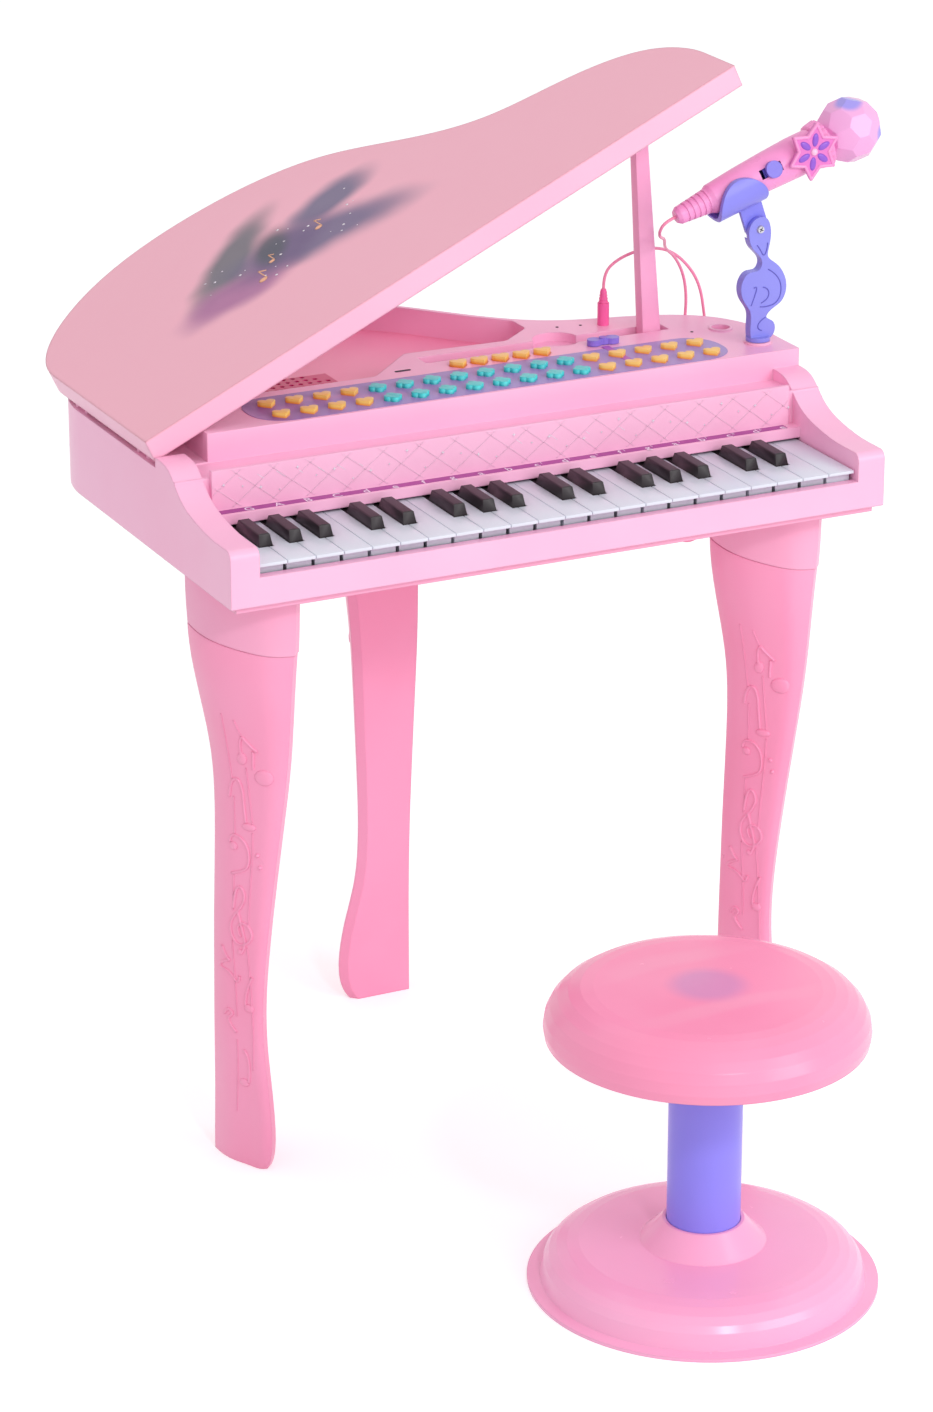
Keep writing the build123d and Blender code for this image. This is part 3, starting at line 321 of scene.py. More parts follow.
# %% Slabs and foils
def slab(x0, x1, y0, y1, z0, z1, corner=0.0, edge=0.0, bm=None):
    """Adds a block between two corners, with rounded upright corners and a rounded top edge."""
    bm = bm or bmesh.new()
    low, high = spot(x0, y0, z0), spot(x1, y1, z1)
    place = Matrix.Translation((low + high) / 2) @ Matrix.Diagonal((*(high - low), 1.0))
    made = bmesh.ops.create_cube(bm, size=1.0, matrix=place)["verts"]
    edges = {e for v in made for e in v.link_edges}
    if corner:
        upright = [e for e in edges if abs(e.verts[0].co.z - e.verts[1].co.z) > 1e-6]
        rest = bmesh.ops.bevel(bm, geom=upright, offset=corner * MM, offset_type="OFFSET",
                               affect="EDGES", segments=8, profile=0.5, material=-1)
        edges = {e for f in rest["faces"] for e in f.edges} | {e for e in edges if e.is_valid}
    if edge:
        rim = [e for e in edges if all(abs(v.co.z - high.z) < 1e-6 for v in e.verts)]
        bmesh.ops.bevel(bm, geom=rim, offset=edge * MM, offset_type="OFFSET", affect="EDGES",
                        segments=3, profile=0.5, material=-1)
    return bm


DECK = 79.5
FOIL = 0.25


def field_shades(material, place, colour):
    """The lavender field: purple at its left end, pinkish in soft clouds."""
    split = add(material, "ShaderNodeSeparateXYZ", {"Vector": place})
    left = step(material, split.outputs["X"], spot(-95, 0, 0).x, spot(-160, 0, 0).x)
    colour = mix(material, left, colour, paint(150, 102, 170))
    cloud = add(material, "ShaderNodeTexNoise", {"Vector": place, "Scale": 22.0, "Detail": 2.0})
    return mix(material, step(material, cloud.outputs["Fac"], 0.56, 0.7), colour,
               paint(190, 146, 206))


lavender = plastic("lavender_foil", paint(170, 146, 208), paint(162, 138, 204), rough=0.4,
                   grain=0.1, decorate=field_shades)
finish("button_field", slab(-165, 196, 121.5, 176, DECK, DECK + FOIL, corner=24),
       [lavender], "case")
magenta = plastic("magenta_foil", paint(168, 62, 150), paint(158, 54, 142), rough=0.38, grain=0.1)
finish("note_strip", slab(-214, 212, 81.2, 88, 36, 36 + FOIL), [magenta], "case")
violet_bar = plastic("violet_print", paint(184, 96, 198), paint(172, 88, 192), rough=0.4, grain=0.1)
finish("switch_print", slab(118.2, 124.2, 146, 181, DECK + FOIL, DECK + FOIL + 0.08, corner=1),
       [violet_bar], "case")

# %% [markdown]
# ## Note letters
# The strip names the notes in white letters, with a raised figure for the octave. Blender's Text
# object makes them. It is turned into a mesh before it is placed, and all letters are
# joined into one piece.

# %% Letters on the strip
def as_mesh(curve):
    """The mesh that a text or a curve makes."""
    holder = bpy.data.objects.new("holder", curve)
    bpy.context.scene.collection.objects.link(holder)
    graph = bpy.context.evaluated_depsgraph_get()
    mesh = bpy.data.meshes.new_from_object(holder.evaluated_get(graph))
    bpy.data.objects.remove(holder)
    return mesh


def join(bm, mesh, place):
    mesh.transform(place)
    bm.from_mesh(mesh)
    bpy.data.meshes.remove(mesh)


def letters(bm, text, size, x, y, z, thick=0.06):
    """Adds flat letters, read from the player's side, centred on a place."""
    curve = bpy.data.curves.new("lettering", "FONT")
    curve.body, curve.size, curve.extrude = text, size * MM, thick * MM
    curve.align_x = "CENTER"
    join(bm, as_mesh(curve), Matrix.Translation(spot(x, y, z)))


NOTES = "G A B C d e f g a b c1 d1 e1 f1 g1 a1 b1 c2 d2 e2".split()
strip_letters = bmesh.new()
for k, note in enumerate(NOTES):
    x = -192 + 21.1 * k
    letters(strip_letters, note[0], 9.6, x, 80.4, 36 + FOIL + 0.06)
    if len(note) > 1:
        letters(strip_letters, note[1], 4.4, x + 4.4, 84.2, 36 + FOIL + 0.06)
print_and_glint_white = plastic("print_and_glint_white", paint(250, 240, 250), paint(244, 230, 246), rough=0.4,
                      grain=0.05)
finish("note_letters", strip_letters, [print_and_glint_white], "case")

# %% [markdown]
# ## The fallboard's pattern
# A lattice of very low diagonal ribs is moulded into the fallboard. A small four-pointed white star at
# some crossings and short white streaks along one rib direction are painted glints: painted highlights
# where the ribs catch the light. Each rib is a thin bar cut off at the plate's edges with bisect_plane.
# A star is a small disc whose alternate corners are drawn in.

# %% Lattice, and stars and streaks painted as glints
BOARD_X, BOARD_LOW, BOARD_HIGH, BOARD_Y = 215.5, 37.5, 63.0, 88.0
LATTICE = 26.5


def bar(bm, middle, length, width, thick, turn):
    """Adds a low bar on the fallboard's face, turned in its plane."""
    place = (Matrix.Translation(spot(*middle)) @ Matrix.Rotation(turn, 4, "Y")
             @ Matrix.Diagonal((length * MM, thick * MM, width * MM, 1.0)))
    bmesh.ops.create_cube(bm, size=1.0, matrix=place)


def trim(bm, point, normal):
    geometry = bm.verts[:] + bm.edges[:] + bm.faces[:]
    cut = bmesh.ops.bisect_plane(bm, geom=geometry, dist=1e-7, plane_co=spot(*point),
                                 plane_no=normal, clear_outer=True)["geom_cut"]
    bmesh.ops.holes_fill(bm, edges=[g for g in cut if isinstance(g, bmesh.types.BMEdge)], sides=0)


def little_star(bm, middle, radius, waist, thick, points=4):
    """Adds a pointed star that faces the player: a painted glint."""
    place = Matrix.Translation(spot(*middle)) @ Matrix.Rotation(math.pi / 2, 4, "X")
    ring = bmesh.ops.create_circle(bm, cap_ends=True, segments=2 * points, radius=radius * MM,
                                   matrix=place)["verts"]
    centre = spot(*middle)
    for k, v in enumerate(ring):
        if k % 2:
            v.co = centre + (v.co - centre) * waist
    face = ring[0].link_faces[0]
    front = bmesh.ops.extrude_face_region(bm, geom=[face])["geom"]
    bmesh.ops.translate(bm, vec=(0, -thick * MM, 0),
                        verts=[g for g in front if isinstance(g, bmesh.types.BMVert)])
    return [g for g in front if isinstance(g, bmesh.types.BMFace)]


lattice = bmesh.new()
for k in range(-9, 10):
    for turn in (-0.66, 0.66):
        bar(lattice, (k * LATTICE, BOARD_Y - 0.02, (BOARD_LOW + BOARD_HIGH) / 2), 60, 0.8,
            0.16 if turn < 0 else 0.22, turn)
trim(lattice, (0, 0, BOARD_HIGH), (0, 0, 1))
trim(lattice, (0, 0, BOARD_LOW), (0, 0, -1))
trim(lattice, (BOARD_X, 0, 0), (1, 0, 0))
trim(lattice, (-BOARD_X, 0, 0), (-1, 0, 0))
pearl = plastic("pearl_pink", paint(253, 198, 227), paint(252, 192, 222), rough=0.34, grain=0.3)
finish("fallboard_lattice", lattice, [pearl], "case")
# painted highlights: white stars and streaks stand for glints on the lattice
stars = bmesh.new()
for k in range(-8, 9):
    little_star(stars, (k * LATTICE + 4, BOARD_Y, 58.5 - 5 * (k % 3)), 1.5, 0.34, 0.3)
    little_star(stars, (k * LATTICE - 9, BOARD_Y, 45 + 6 * (k % 2)), 1.0, 0.34, 0.3)
# white streaks along one rib direction: painted highlights
for k in range(11):
    x = -196 + 14.5 * k if k < 7 else 8 + 26 * (k - 7)
    bar(stars, (x, BOARD_Y - 0.1, 56.5 - 0.5 * k), 3.5 + 2.2 * (k % 3), 0.32, 0.1, 0.66)
finish("fallboard_painted_glints", stars, [print_and_glint_white], "case")

# %% [markdown]
# ## The lid
# The lid stands open, so its top is seen at a slant. It carries a soft airbrushed cloud in
# slate, violet and navy. Its top face is also painted a darker, more salmon pink: painted shade, as the
# top gets less light than the skirt. A Mapping node of the Texture kind turns Object coordinates into the
# lid's own flat ones, and each sprayed patch is a distance from a middle, stretched to an oval.

# %% Lid plastic with its sprayed cloud and painted shade on its top
LID_TURN = math.radians(-25.3)
LID_PLACE = Matrix.Translation(spot(-248, 0, 78.3)) @ Matrix.Rotation(LID_TURN, 4, "Y")
SPRAYED = ((150, 292, 0.75, 66, 20, (76, 86, 98)), (205, 250, -0.35, 74, 29, (84, 78, 124)),
           (232, 292, 0.3, 40, 20, (84, 84, 124)), (128, 244, 0.1, 46, 24, (166, 90, 148)),
           (180, 264, 0.25, 50, 26, (96, 66, 118)), (176, 276, 0.9, 30, 15, (52, 54, 74)))


def sprayed_cloud(material, place, colour):
    flat = add(material, "ShaderNodeMapping",
               {"Vector": place, "Location": LID_PLACE.translation, "Rotation": (0, LID_TURN, 0)},
               vector_type="TEXTURE").outputs["Vector"]
    top = step(material, add(material, "ShaderNodeSeparateXYZ", {"Vector": flat}).outputs["Z"],
               -0.0015, -0.0005)
    # painted shade: the top face is tinted darker and more salmon than the skirt
    colour = mix(material, maths(material, "MULTIPLY", top, 0.8), colour, paint(244, 172, 190))
    drift = add(material, "ShaderNodeTexNoise", {"Vector": flat, "Scale": 16.0, "Detail": 2.0})
    flat = add(material, "ShaderNodeVectorMath",
               {0: drift.outputs["Color"], 1: (0.024, 0.024, 0.0), 2: flat},
               operation="MULTIPLY_ADD").outputs[0]
    for s, y, turn, long, wide, shade in SPRAYED:
        oval = add(material, "ShaderNodeMapping",
                   {"Vector": flat, "Location": ((s + 12) * MM, (y + 12) * MM, 0),
                    "Rotation": (0, 0, turn), "Scale": (long * MM, wide * MM, 1000)},
                   vector_type="TEXTURE").outputs["Vector"]
        away = add(material, "ShaderNodeVectorMath", {0: oval}, operation="LENGTH").outputs["Value"]
        cover = maths(material, "MULTIPLY", step(material, away, 1.25, 0.4), 0.9)
        colour = mix(material, maths(material, "MULTIPLY", cover, top), colour, paint(*shade))
    return colour


lid_pink = plastic("lid_pink", paint(250, 188, 214), paint(247, 182, 209), rough=0.34, edge=2.4,
                   decorate=sprayed_cloud)
dress(lid_pink, "lid")

# %% [markdown]
# ## Motifs on the lid
# Small printed motifs lie on the cloud: three quavers in peach, and a trail of tiny
# white stars. A quaver is a flattened sphere for its head and two slim blocks for stem and flag.
# They are drawn flat and then laid on the lid with one matrix.

# %% Printed motifs
def bead(bm, u, v, across, high, thick, place, turn=0.0):
    """Adds a flattened ball in the XZ plane of a place, sizes in millimetres."""
    shape = (place @ Matrix.Translation(Vector((u, 0, v)) * MM) @ Matrix.Rotation(turn, 4, "Y")
             @ Matrix.Diagonal((across * MM, thick * MM, high * MM, 1.0)))
    bmesh.ops.create_uvsphere(bm, u_segments=16, v_segments=8, radius=1.0, matrix=shape)


def stick(bm, u0, v0, u1, v1, width, thick, place):
    """Adds a slim block from one point to another in the XZ plane of a place."""
    middle = Vector(((u0 + u1) / 2, 0, (v0 + v1) / 2)) * MM
    turn = -math.atan2(v1 - v0, u1 - u0)
    shape = (place @ Matrix.Translation(middle) @ Matrix.Rotation(turn, 4, "Y")
             @ Matrix.Diagonal((math.hypot(u1 - u0, v1 - v0) * MM, thick * MM, width * MM, 1.0)))
    bmesh.ops.create_cube(bm, size=1.0, matrix=shape)


def quaver(bm, u, v, size, thick, place):
    bead(bm, u, v, 1.25 * size, 0.9 * size, thick, place, -0.35)
    stick(bm, u + 1.05 * size, v, u + 1.05 * size, v + 5 * size, 0.35 * size, thick, place)
    stick(bm, u + 1.0 * size, v + 5 * size, u + 2.5 * size, v + 3.4 * size, 0.5 * size, thick, place)


# drawn in XZ, then laid down with its front upwards
ON_LID = LID_PLACE @ Matrix.Rotation(-math.pi / 2, 4, "X")
peach_notes = bmesh.new()
for u, v, size in ((150, 238, 3.0), (166, 256, 2.2), (208, 262, 2.6)):
    quaver(peach_notes, u, v, size, 0.12, ON_LID)
peach = plastic("print_peach", paint(246, 178, 140), paint(240, 168, 130), rough=0.4, grain=0.1)
finish("lid_notes", peach_notes, [peach], "lid")
sparkle = bmesh.new()
for k in range(26):
    u = 118 + 5.1 * k
    v = 262 + 26 * math.sin(0.55 * k) + 9 * math.sin(2.3 * k)
    bead(sparkle, u, v, 0.55 + 0.3 * (k % 3), 0.55 + 0.3 * (k % 3), 0.1, ON_LID)
finish("lid_sparkles", sparkle, [print_and_glint_white], "lid")

# %% [markdown]
# ## Legs with raised notes
# The curved face of each leg carries low relief: two stave lines, note heads, a bass clef and a
# treble clef. Each line is a NURBS curve with a round section, drawn in a flat plane. Then every
# point of it is sent against the leg with ray_cast and pushed out along the leg's own normal, so the
# relief bends with the plastic.

# %% Legs
leg_pink = plastic("leg_pink", paint(254, 164, 201), paint(253, 154, 192), rough=0.3, edge=1.6)
dress(leg_pink, "leg_left", "leg_right", "leg_rear")
UPRIGHT = Matrix.Identity(4)


def stroke(bm, points, radius, place=UPRIGHT):
    """Adds a smooth round line through the XZ plane of a place."""
    curve = bpy.data.curves.new("line", "CURVE")
    curve.dimensions = "3D"
    curve.bevel_depth, curve.bevel_resolution, curve.resolution_u = radius * MM, 2, 5
    curve.use_fill_caps = True
    spline = curve.splines.new("NURBS")
    spline.points.add(len(points) - 1)
    for point, (u, v) in zip(spline.points, points):
        point.co = (u * MM, 0.0, v * MM, 1.0)
    spline.order_u = 3
    spline.use_endpoint_u = True
    join(bm, as_mesh(curve), place)


LINES = (
    ((-20.8, -97), (-17.2, -119), (-14.2, -145)), ((-13.3, -157), (-13.2, -184)),
    ((-14.3, -213), (-15.4, -240)), ((-16.4, -262), (-14.6, -290), (-14, -317)),
    ((-14, -334), (-13.6, -360), (-15, -386)), ((-12.2, -99.6), (-7.3, -111)),
    ((-4.6, -134), (-1.9, -165), (-0.9, -174.6)),
    ((-1, -181), (-1.3, -197), (-2.7, -214), (-4.2, -233), (-5.1, -250)),
    ((-6.1, -265), (-4, -290), (-2.6, -330), (-3, -352)))
CURLS = (
    ((-7.6, -125), (-8.6, -119), (-7.3, -110), (-3.4, -115.5), (3.4, -121)),
    ((0.5, -121), (0.3, -134)),
    ((-16.2, -158), (-15.6, -147), (-10.2, -142), (-7, -151), (-6.5, -163), (-5.3, -174)),
    ((-16.5, -191), (-16.5, -185), (-9, -185), (-3.6, -193), (-3.6, -205), (-8, -210), (-15.5, -213)),
    ((-14.8, -238), (-13.6, -225), (-9.8, -220), (-6.4, -228), (-9.5, -236), (-13.1, -241),
     (-18, -250), (-15.5, -262), (-8.8, -265), (-1.6, -257), (-4.5, -249), (-9.1, -247),
     (-13.4, -252), (-10.4, -258)),
    ((-11.9, -240), (-9.2, -252), (-6.4, -264), (-10, -270)),
    ((-23.6, -268.8), (-20.8, -276), (-17.4, -277), (-23.4, -280), (-26, -285), (-18.6, -285),
     (-12, -294), (-11.5, -287)),
    ((-2.7, -286), (-8.4, -299), (-7.6, -308)),
    ((-22.6, -318), (-20.4, -312), (-15.6, -316), (-22, -321), (-14.4, -329)),
    ((-9.5, -340), (-4.2, -344), (-6, -362)))
HEADS = ((-7, -127.7, 3.4, 4.6), (7.7, -139.4, 6.6, 5.8), (-3.3, -177, 5, 2.8), (-13.9, -193, 2.7, 3),
         (2.2, -196.3, 1.4, 1.5), (3.8, -204.7, 1.4, 1.5), (-10.8, -269, 1.9, 2.1),
         (-5.2, -309, 3.4, 3), (-9, -363, 3.4, 2.8))


def leg_relief(name, node, corner, quarter):
    """Lays the relief on a leg whose corner is given, turned by quarter turns about Z."""
    shell = bmesh.new()
    shell.from_mesh(nodes[node].data)
    tree = BVHTree.FromBMesh(shell)
    shell.free()
    turn = Matrix.Rotation(quarter * math.pi / 2, 3, "Z")
    into = turn @ Vector((math.sin(0.454), math.cos(0.454), 0))
    across = turn @ Vector((math.cos(0.454), -math.sin(0.454), 0))
    base = spot(*corner, 0) + turn @ Vector((19, -35, 0)) * MM
    bm = bmesh.new()
    for points in LINES:
        stroke(bm, points, 0.5)
    for points in CURLS:
        stroke(bm, points, 0.95)
    for u, v, wide, high in HEADS:
        bead(bm, u, v, wide, high, 1.3, UPRIGHT)
    for v in bm.verts:
        start = base + across * v.co.x + Vector((0, 0, v.co.z)) - into * 0.12
        place, normal, _, _ = tree.ray_cast(start, into, 0.3)
        if place is not None:
            v.co = place - normal * v.co.y * 1.1
        else:
            v.co = start + into * 0.12
    return finish(name, bm, [leg_pink], "case")


leg_relief("relief_left", "leg_left", (-224, 90), 0)
leg_relief("relief_right", "leg_right", (168, 90), 0)
leg_relief("relief_rear", "leg_rear", (9, 293), -1)

# %% [markdown]
# ## Small fixed parts
# The prop is a rounded copy of its CAD node, and the folding stand and the clamp are dressed as they
# are. The stand has shallow grooves like a scroll: thin strokes that lie half sunk in its front face,
# coloured darker violet as painted shade in the grooves.

# %% Prop, stand and clamp
prop_pink = plastic("prop_pink", paint(252, 178, 214), paint(248, 168, 206), rough=0.34, edge=0.7)
stand_violet = plastic("stand_violet", paint(146, 146, 236), paint(136, 136, 228), rough=0.34, edge=0.8)
clamp_violet = plastic("clamp_violet", paint(140, 138, 238), paint(130, 128, 230), rough=0.33, edge=0.8)
# painted shade: the grooves' darker violet stands for the shade inside them
groove_shade_violet = plastic("groove_shade_violet", paint(108, 104, 204), paint(98, 96, 194), rough=0.5)
rounded("prop_round", "prop_post", 3.4, prop_pink, "prop", segments=5)
dress(stand_violet, "mic_stand")
dress(clamp_violet, "mic_clamp")
FACE = Matrix.Translation(spot(0, 140.45, 0))
grooves = bmesh.new()
for line in (((218.2, 150.6), (220.4, 148.4), (223.8, 141.6), (226.4, 147), (226.6, 151.6)),
             ((227.6, 132.4), (233.5, 129), (238.6, 120.6), (237.6, 110), (230.1, 105), (221.7, 106)),
             ((216.4, 120), (219.6, 122), (217.2, 114), (214.6, 107.6)),
             ((223.7, 120), (228.4, 119), (228.6, 111), (222.5, 108.6)),
             ((226.2, 98), (221, 95.6), (219.8, 90), (223.4, 88.8))):
    stroke(grooves, line, 0.42, FACE)
finish("stand_grooves", grooves, [groove_shade_violet], "stand")

# %% [markdown]
# ## A metal screw
# The screw that holds the clamp is a short turned head with a cross cut into it: two dark bars, as
# deep as the head is thick, stand for the cut; their dark is painted shade in the cut.

# %% Clamp screw
def metal(name, colour, rough=0.28):
    """A brushed metal whose roughness drifts a little."""
    material = bpy.data.materials.new(name)
    material.use_nodes = True
    shader = material.node_tree.nodes["Principled BSDF"]
    place = add(material, "ShaderNodeTexCoord", {}).outputs["Object"]
    drift = add(material, "ShaderNodeTexNoise", {"Vector": place, "Scale": 900.0}).outputs["Fac"]
    shade = mix(material, drift, colour, tuple(0.8 * c for c in colour[:3]) + (1.0,))
    material.node_tree.links.new(shade, shader.inputs["Base Color"])
    shader.inputs["Metallic"].default_value = 1.0
    material.node_tree.links.new(maths(material, "MULTIPLY_ADD", drift, 0.15), shader.inputs["Roughness"])
    return material


steel = metal("screw_steel", paint(206, 206, 214))
shadow_cut = plastic("shadow_cut", paint(44, 38, 52), paint(34, 30, 42), rough=0.7)
LOOK_BACK = Matrix.Rotation(math.pi / 2, 4, "X")
screw = bmesh.new()
bmesh.ops.create_cone(screw, cap_ends=True, segments=32, radius1=3 * MM, radius2=2.4 * MM,
                      depth=1.5 * MM, matrix=Matrix.Translation(spot(220.6, 139.8, 161.8)) @ LOOK_BACK)
finish("clamp_screw", screw, [steel], "stand")
# painted shade: dark bars where the cross cut is
cross = bmesh.new()
CUT = Matrix.Translation(spot(220.6, 139.03, 161.8)) @ Matrix.Rotation(0.5, 4, "Y")
stick(cross, -1.7, 0, 1.7, 0, 0.6, 0.1, CUT)
stick(cross, 0, -1.7, 0, 1.7, 0.6, 0.1, CUT)
finish("clamp_screw_cross", cross, [shadow_cut], "stand")

# %% [markdown]
# ## The microphone
# The body is pink. Its ball is a faceted grille: the material turns to violet towards
# the top and the far side, where the facets catch another colour. The violet is chosen
# by the distance from two soft middles, in Object coordinates.

# %% Microphone plastics
TILT = math.radians(19)
AXIS = Vector((math.cos(TILT), 0, math.sin(TILT)))
OUT = Vector((-math.sin(TILT), 0, math.cos(TILT)))
TAIL = spot(155.5, 144, 177.5)


def along(distance, across=0.0, y=0.0):
    """A place on the microphone: along its axis, across it in XZ, and in depth (mm)."""
    return TAIL + (AXIS * distance + OUT * across + Vector((0, y, 0))) * MM


def violet_facets(material, place, colour):
    for middle, reach in ((along(147, 21, -4), 0.012), (along(161, -9, -12), 0.0105)):
        away = add(material, "ShaderNodeVectorMath", {0: place, 1: middle},
                   operation="DISTANCE").outputs["Value"]
        cover = maths(material, "MULTIPLY", step(material, away, reach, 0.55 * reach), 0.85)
        colour = mix(material, cover, colour, paint(142, 146, 236))
    return colour




def slider_track(material, place, colour):
    """Violet in the slider's slot, below the skin of the grip."""
    flat = add(material, "ShaderNodeMapping", {"Vector": place, "Location": TAIL,
                                               "Rotation": (0, -TILT, 0)},
               vector_type="TEXTURE").outputs["Vector"]
    length = add(material, "ShaderNodeSeparateXYZ", {"Vector": flat}).outputs["X"]
    reach = add(material, "ShaderNodeVectorMath",
                {0: add(material, "ShaderNodeVectorMath", {0: flat, 1: (0.0, 1.0, 1.0)},
                        operation="MULTIPLY").outputs[0]}, operation="LENGTH").outputs["Value"]
    there = maths(material, "MULTIPLY", step(material, length, 0.060, 0.062),
                  step(material, length, 0.090, 0.088))
    return mix(material, maths(material, "MULTIPLY", there, step(material, reach, 0.0127, 0.0124)),
               colour, paint(122, 112, 222))


mic_pink = plastic("mic_pink", paint(248, 160, 214), paint(244, 150, 207), rough=0.28, edge=0.8,
                   decorate=slider_track)
ball_pink = plastic("ball_pink", paint(246, 182, 228), paint(240, 170, 222), rough=0.24, edge=0.5,
                    decorate=violet_facets)
slider_violet = plastic("slider_violet", paint(128, 116, 224), paint(116, 104, 214), rough=0.32, edge=0.5)
dress(mic_pink, "mic_body")
rounded("ball_round", "mic_head", 2.6, ball_pink, "microphone", sharp=12, segments=4)
dress(slider_violet, "mic_switch")

# %% [markdown]
# ## The fluted collar
# Between body and ball sits a collar with many rounded ribs. One ring of points is made with a
# radius that rises and falls, copied along the axis, and closed at both ends.

# %% Collar
def ring_of(bm, distance, radius, ribs, depth):
    points = []
    for k in range(ribs * 6):
        angle = 2 * math.pi * k / (ribs * 6)
        reach = radius + depth * abs(math.sin(ribs * angle / 2))
        side = OUT * math.cos(angle) + Vector((0, 1, 0)) * math.sin(angle)
        points.append(bm.verts.new(along(distance) + side * reach * MM))
    return points


def fluted(name, steps, ribs, depth, material, body):
    bm = bmesh.new()
    rings = [ring_of(bm, distance, radius, ribs, depth) for distance, radius in steps]
    for one, two in zip(rings, rings[1:]):
        for k in range(len(one)):
            bm.faces.new((one[k - 1], one[k], two[k], two[k - 1]))
    bm.faces.new(rings[0][::-1])
    bm.faces.new(rings[-1])
    bmesh.ops.recalc_face_normals(bm, faces=bm.faces)
    return finish(name, bm, [material], body)


fluted("mic_collar", ((112.5, 14.2), (113.5, 15.4), (121, 16.6), (122.2, 15.6)), 22, 0.7,
       mic_pink, "microphone")

# %% [markdown]
# ## The star badge
# A six-pointed star stands on the front of the ball. Its plate is a flat polygon, extruded; a raised
# rim follows the edge as a round tube, and six purple petals fill the middle around a small pearl.

# %% Star badge
BADGE = (Matrix.Translation(spot(253.5, 3.6, 216.3)) @ Matrix.Rotation(0.09, 4, "Y"))


def star_points(outer, inner, points=6, start=math.pi / 2):
    return [((outer if k % 2 == 0 else inner) * math.cos(start + math.pi * k / points),
             (outer if k % 2 == 0 else inner) * math.sin(start + math.pi * k / points))
            for k in range(2 * points)]


def plate(bm, outline, front, back):
    """Adds a flat plate in the XZ plane of the badge, from one depth to another."""
    ends = [[bm.verts.new(BADGE @ (Vector((u, depth, v)) * MM)) for u, v in outline]
            for depth in (front, back)]
    bm.faces.new(ends[0])
    bm.faces.new(ends[1][::-1])
    for k in range(len(outline)):
        bm.faces.new((ends[0][k - 1], ends[1][k - 1], ends[1][k], ends[0][k]))


badge_pink = plastic("badge_pink", paint(236, 132, 204), paint(226, 118, 196), rough=0.3, edge=0.4)
badge = bmesh.new()
plate(badge, star_points(19.6, 12.2), 122.6, 126.4)
bmesh.ops.recalc_face_normals(badge, faces=badge.faces)
finish("badge_plate", badge, [badge_pink], "microphone")
rim = bmesh.new()
outline = star_points(19.2, 11.8)
for one, two in zip(outline, outline[1:] + outline[:1]):
    stroke(rim, (one, ((one[0] + two[0]) / 2, (one[1] + two[1]) / 2), two), 1.25,
           BADGE @ Matrix.Translation((0, 122.9 * MM, 0)))
for u, v in outline:
    bead(rim, u, v, 1.25, 1.25, 1.25, BADGE @ Matrix.Translation((0, 122.9 * MM, 0)))
finish("badge_rim", rim, [mic_pink], "microphone", outwards=False)
petals = bmesh.new()
for k in range(6):
    angle = math.pi / 2 + k * math.pi / 3
    bead(petals, 8.4 * math.cos(angle), 8.4 * math.sin(angle), 4.8, 2.4, 1.0,
         BADGE @ Matrix.Translation((0, 122.6 * MM, 0)), -angle)
petal_violet = plastic("petal_violet", paint(154, 96, 212), paint(142, 84, 204), rough=0.3)
finish("badge_petals", petals, [petal_violet], "microphone")
heart_of_star = bmesh.new()
bead(heart_of_star, 0, 0, 2.6, 2.6, 1.8, BADGE @ Matrix.Translation((0, 122.4 * MM, 0)))
finish("badge_pearl", heart_of_star, [pearl], "microphone")

# %% [markdown]
# ## Plug, switch and stool
# The plug is hot pink with a soft band. The stool seat has a faint lilac bloom in the middle, made in
# the material from the distance to the centre, with a swirl from a noise-bent wave.

# %% Plug, power switch and stool
plug_pink = plastic("plug_pink", paint(252, 112, 178), paint(248, 100, 168), rough=0.32, edge=0.4)
bow_violet = plastic("bow_violet", paint(144, 122, 224), paint(132, 110, 214), rough=0.3, edge=0.8)
dress(plug_pink, "mic_plug")
ribs = bmesh.new()
for k in range(4):
    bmesh.ops.create_cone(ribs, cap_ends=True, segments=28, radius1=(3.5 - 0.3 * k) * MM,
                          radius2=(3.3 - 0.3 * k) * MM, depth=1.1 * MM,
                          matrix=Matrix.Translation(spot(145.5, 230, 96.4 + 2.3 * k)))
plug_ribs = finish("plug_ribs", ribs, [plug_pink], "case")
dress(bow_violet, "power_switch")
SEAT = spot(-12, -222.5, 207)


def bloom(material, place, colour):
    shift = add(material, "ShaderNodeMapping", {"Vector": place, "Location": SEAT},
                vector_type="TEXTURE").outputs["Vector"]
    flat = add(material, "ShaderNodeVectorMath", {0: shift, 1: (1.0, 1.0, 0.0)},
               operation="MULTIPLY").outputs[0]
    away = add(material, "ShaderNodeVectorMath", {0: flat}, operation="LENGTH").outputs["Value"]
    wave = add(material, "ShaderNodeTexWave", {"Vector": flat, "Scale": 4.0, "Distortion": 3.0},
               wave_type="RINGS").outputs["Fac"]
    streak = maths(material, "MULTIPLY", step(material, wave, 0.75, 1.0),
                   step(material, away, 0.09, 0.03))
    colour = mix(material, maths(material, "MULTIPLY", streak, 0.3), colour, paint(248, 176, 202))
    cover = maths(material, "MULTIPLY", step(material, away, 0.031, 0.015), 0.62)
    return mix(material, cover, colour, paint(196, 142, 196))


seat_pink = plastic("seat_pink", paint(250, 154, 190), paint(248, 144, 182), rough=0.24, edge=1.2,
                    decorate=bloom)
base_pink = plastic("base_pink", paint(252, 180, 216), paint(250, 172, 210), rough=0.24, edge=1.2)
column_violet = plastic("column_violet", paint(150, 144, 254), paint(140, 134, 246), rough=0.33, edge=0.9)
dress(seat_pink, "stool_seat")
dress(base_pink, "stool_base")
dress(column_violet, "stool_column")

# %% [markdown]
# ## The microphone cord
# The cord is one NURBS curve with a round section. Its points are given as the way the cord takes:
# from the end of the microphone, down behind it, through a loop, and up into the plug.

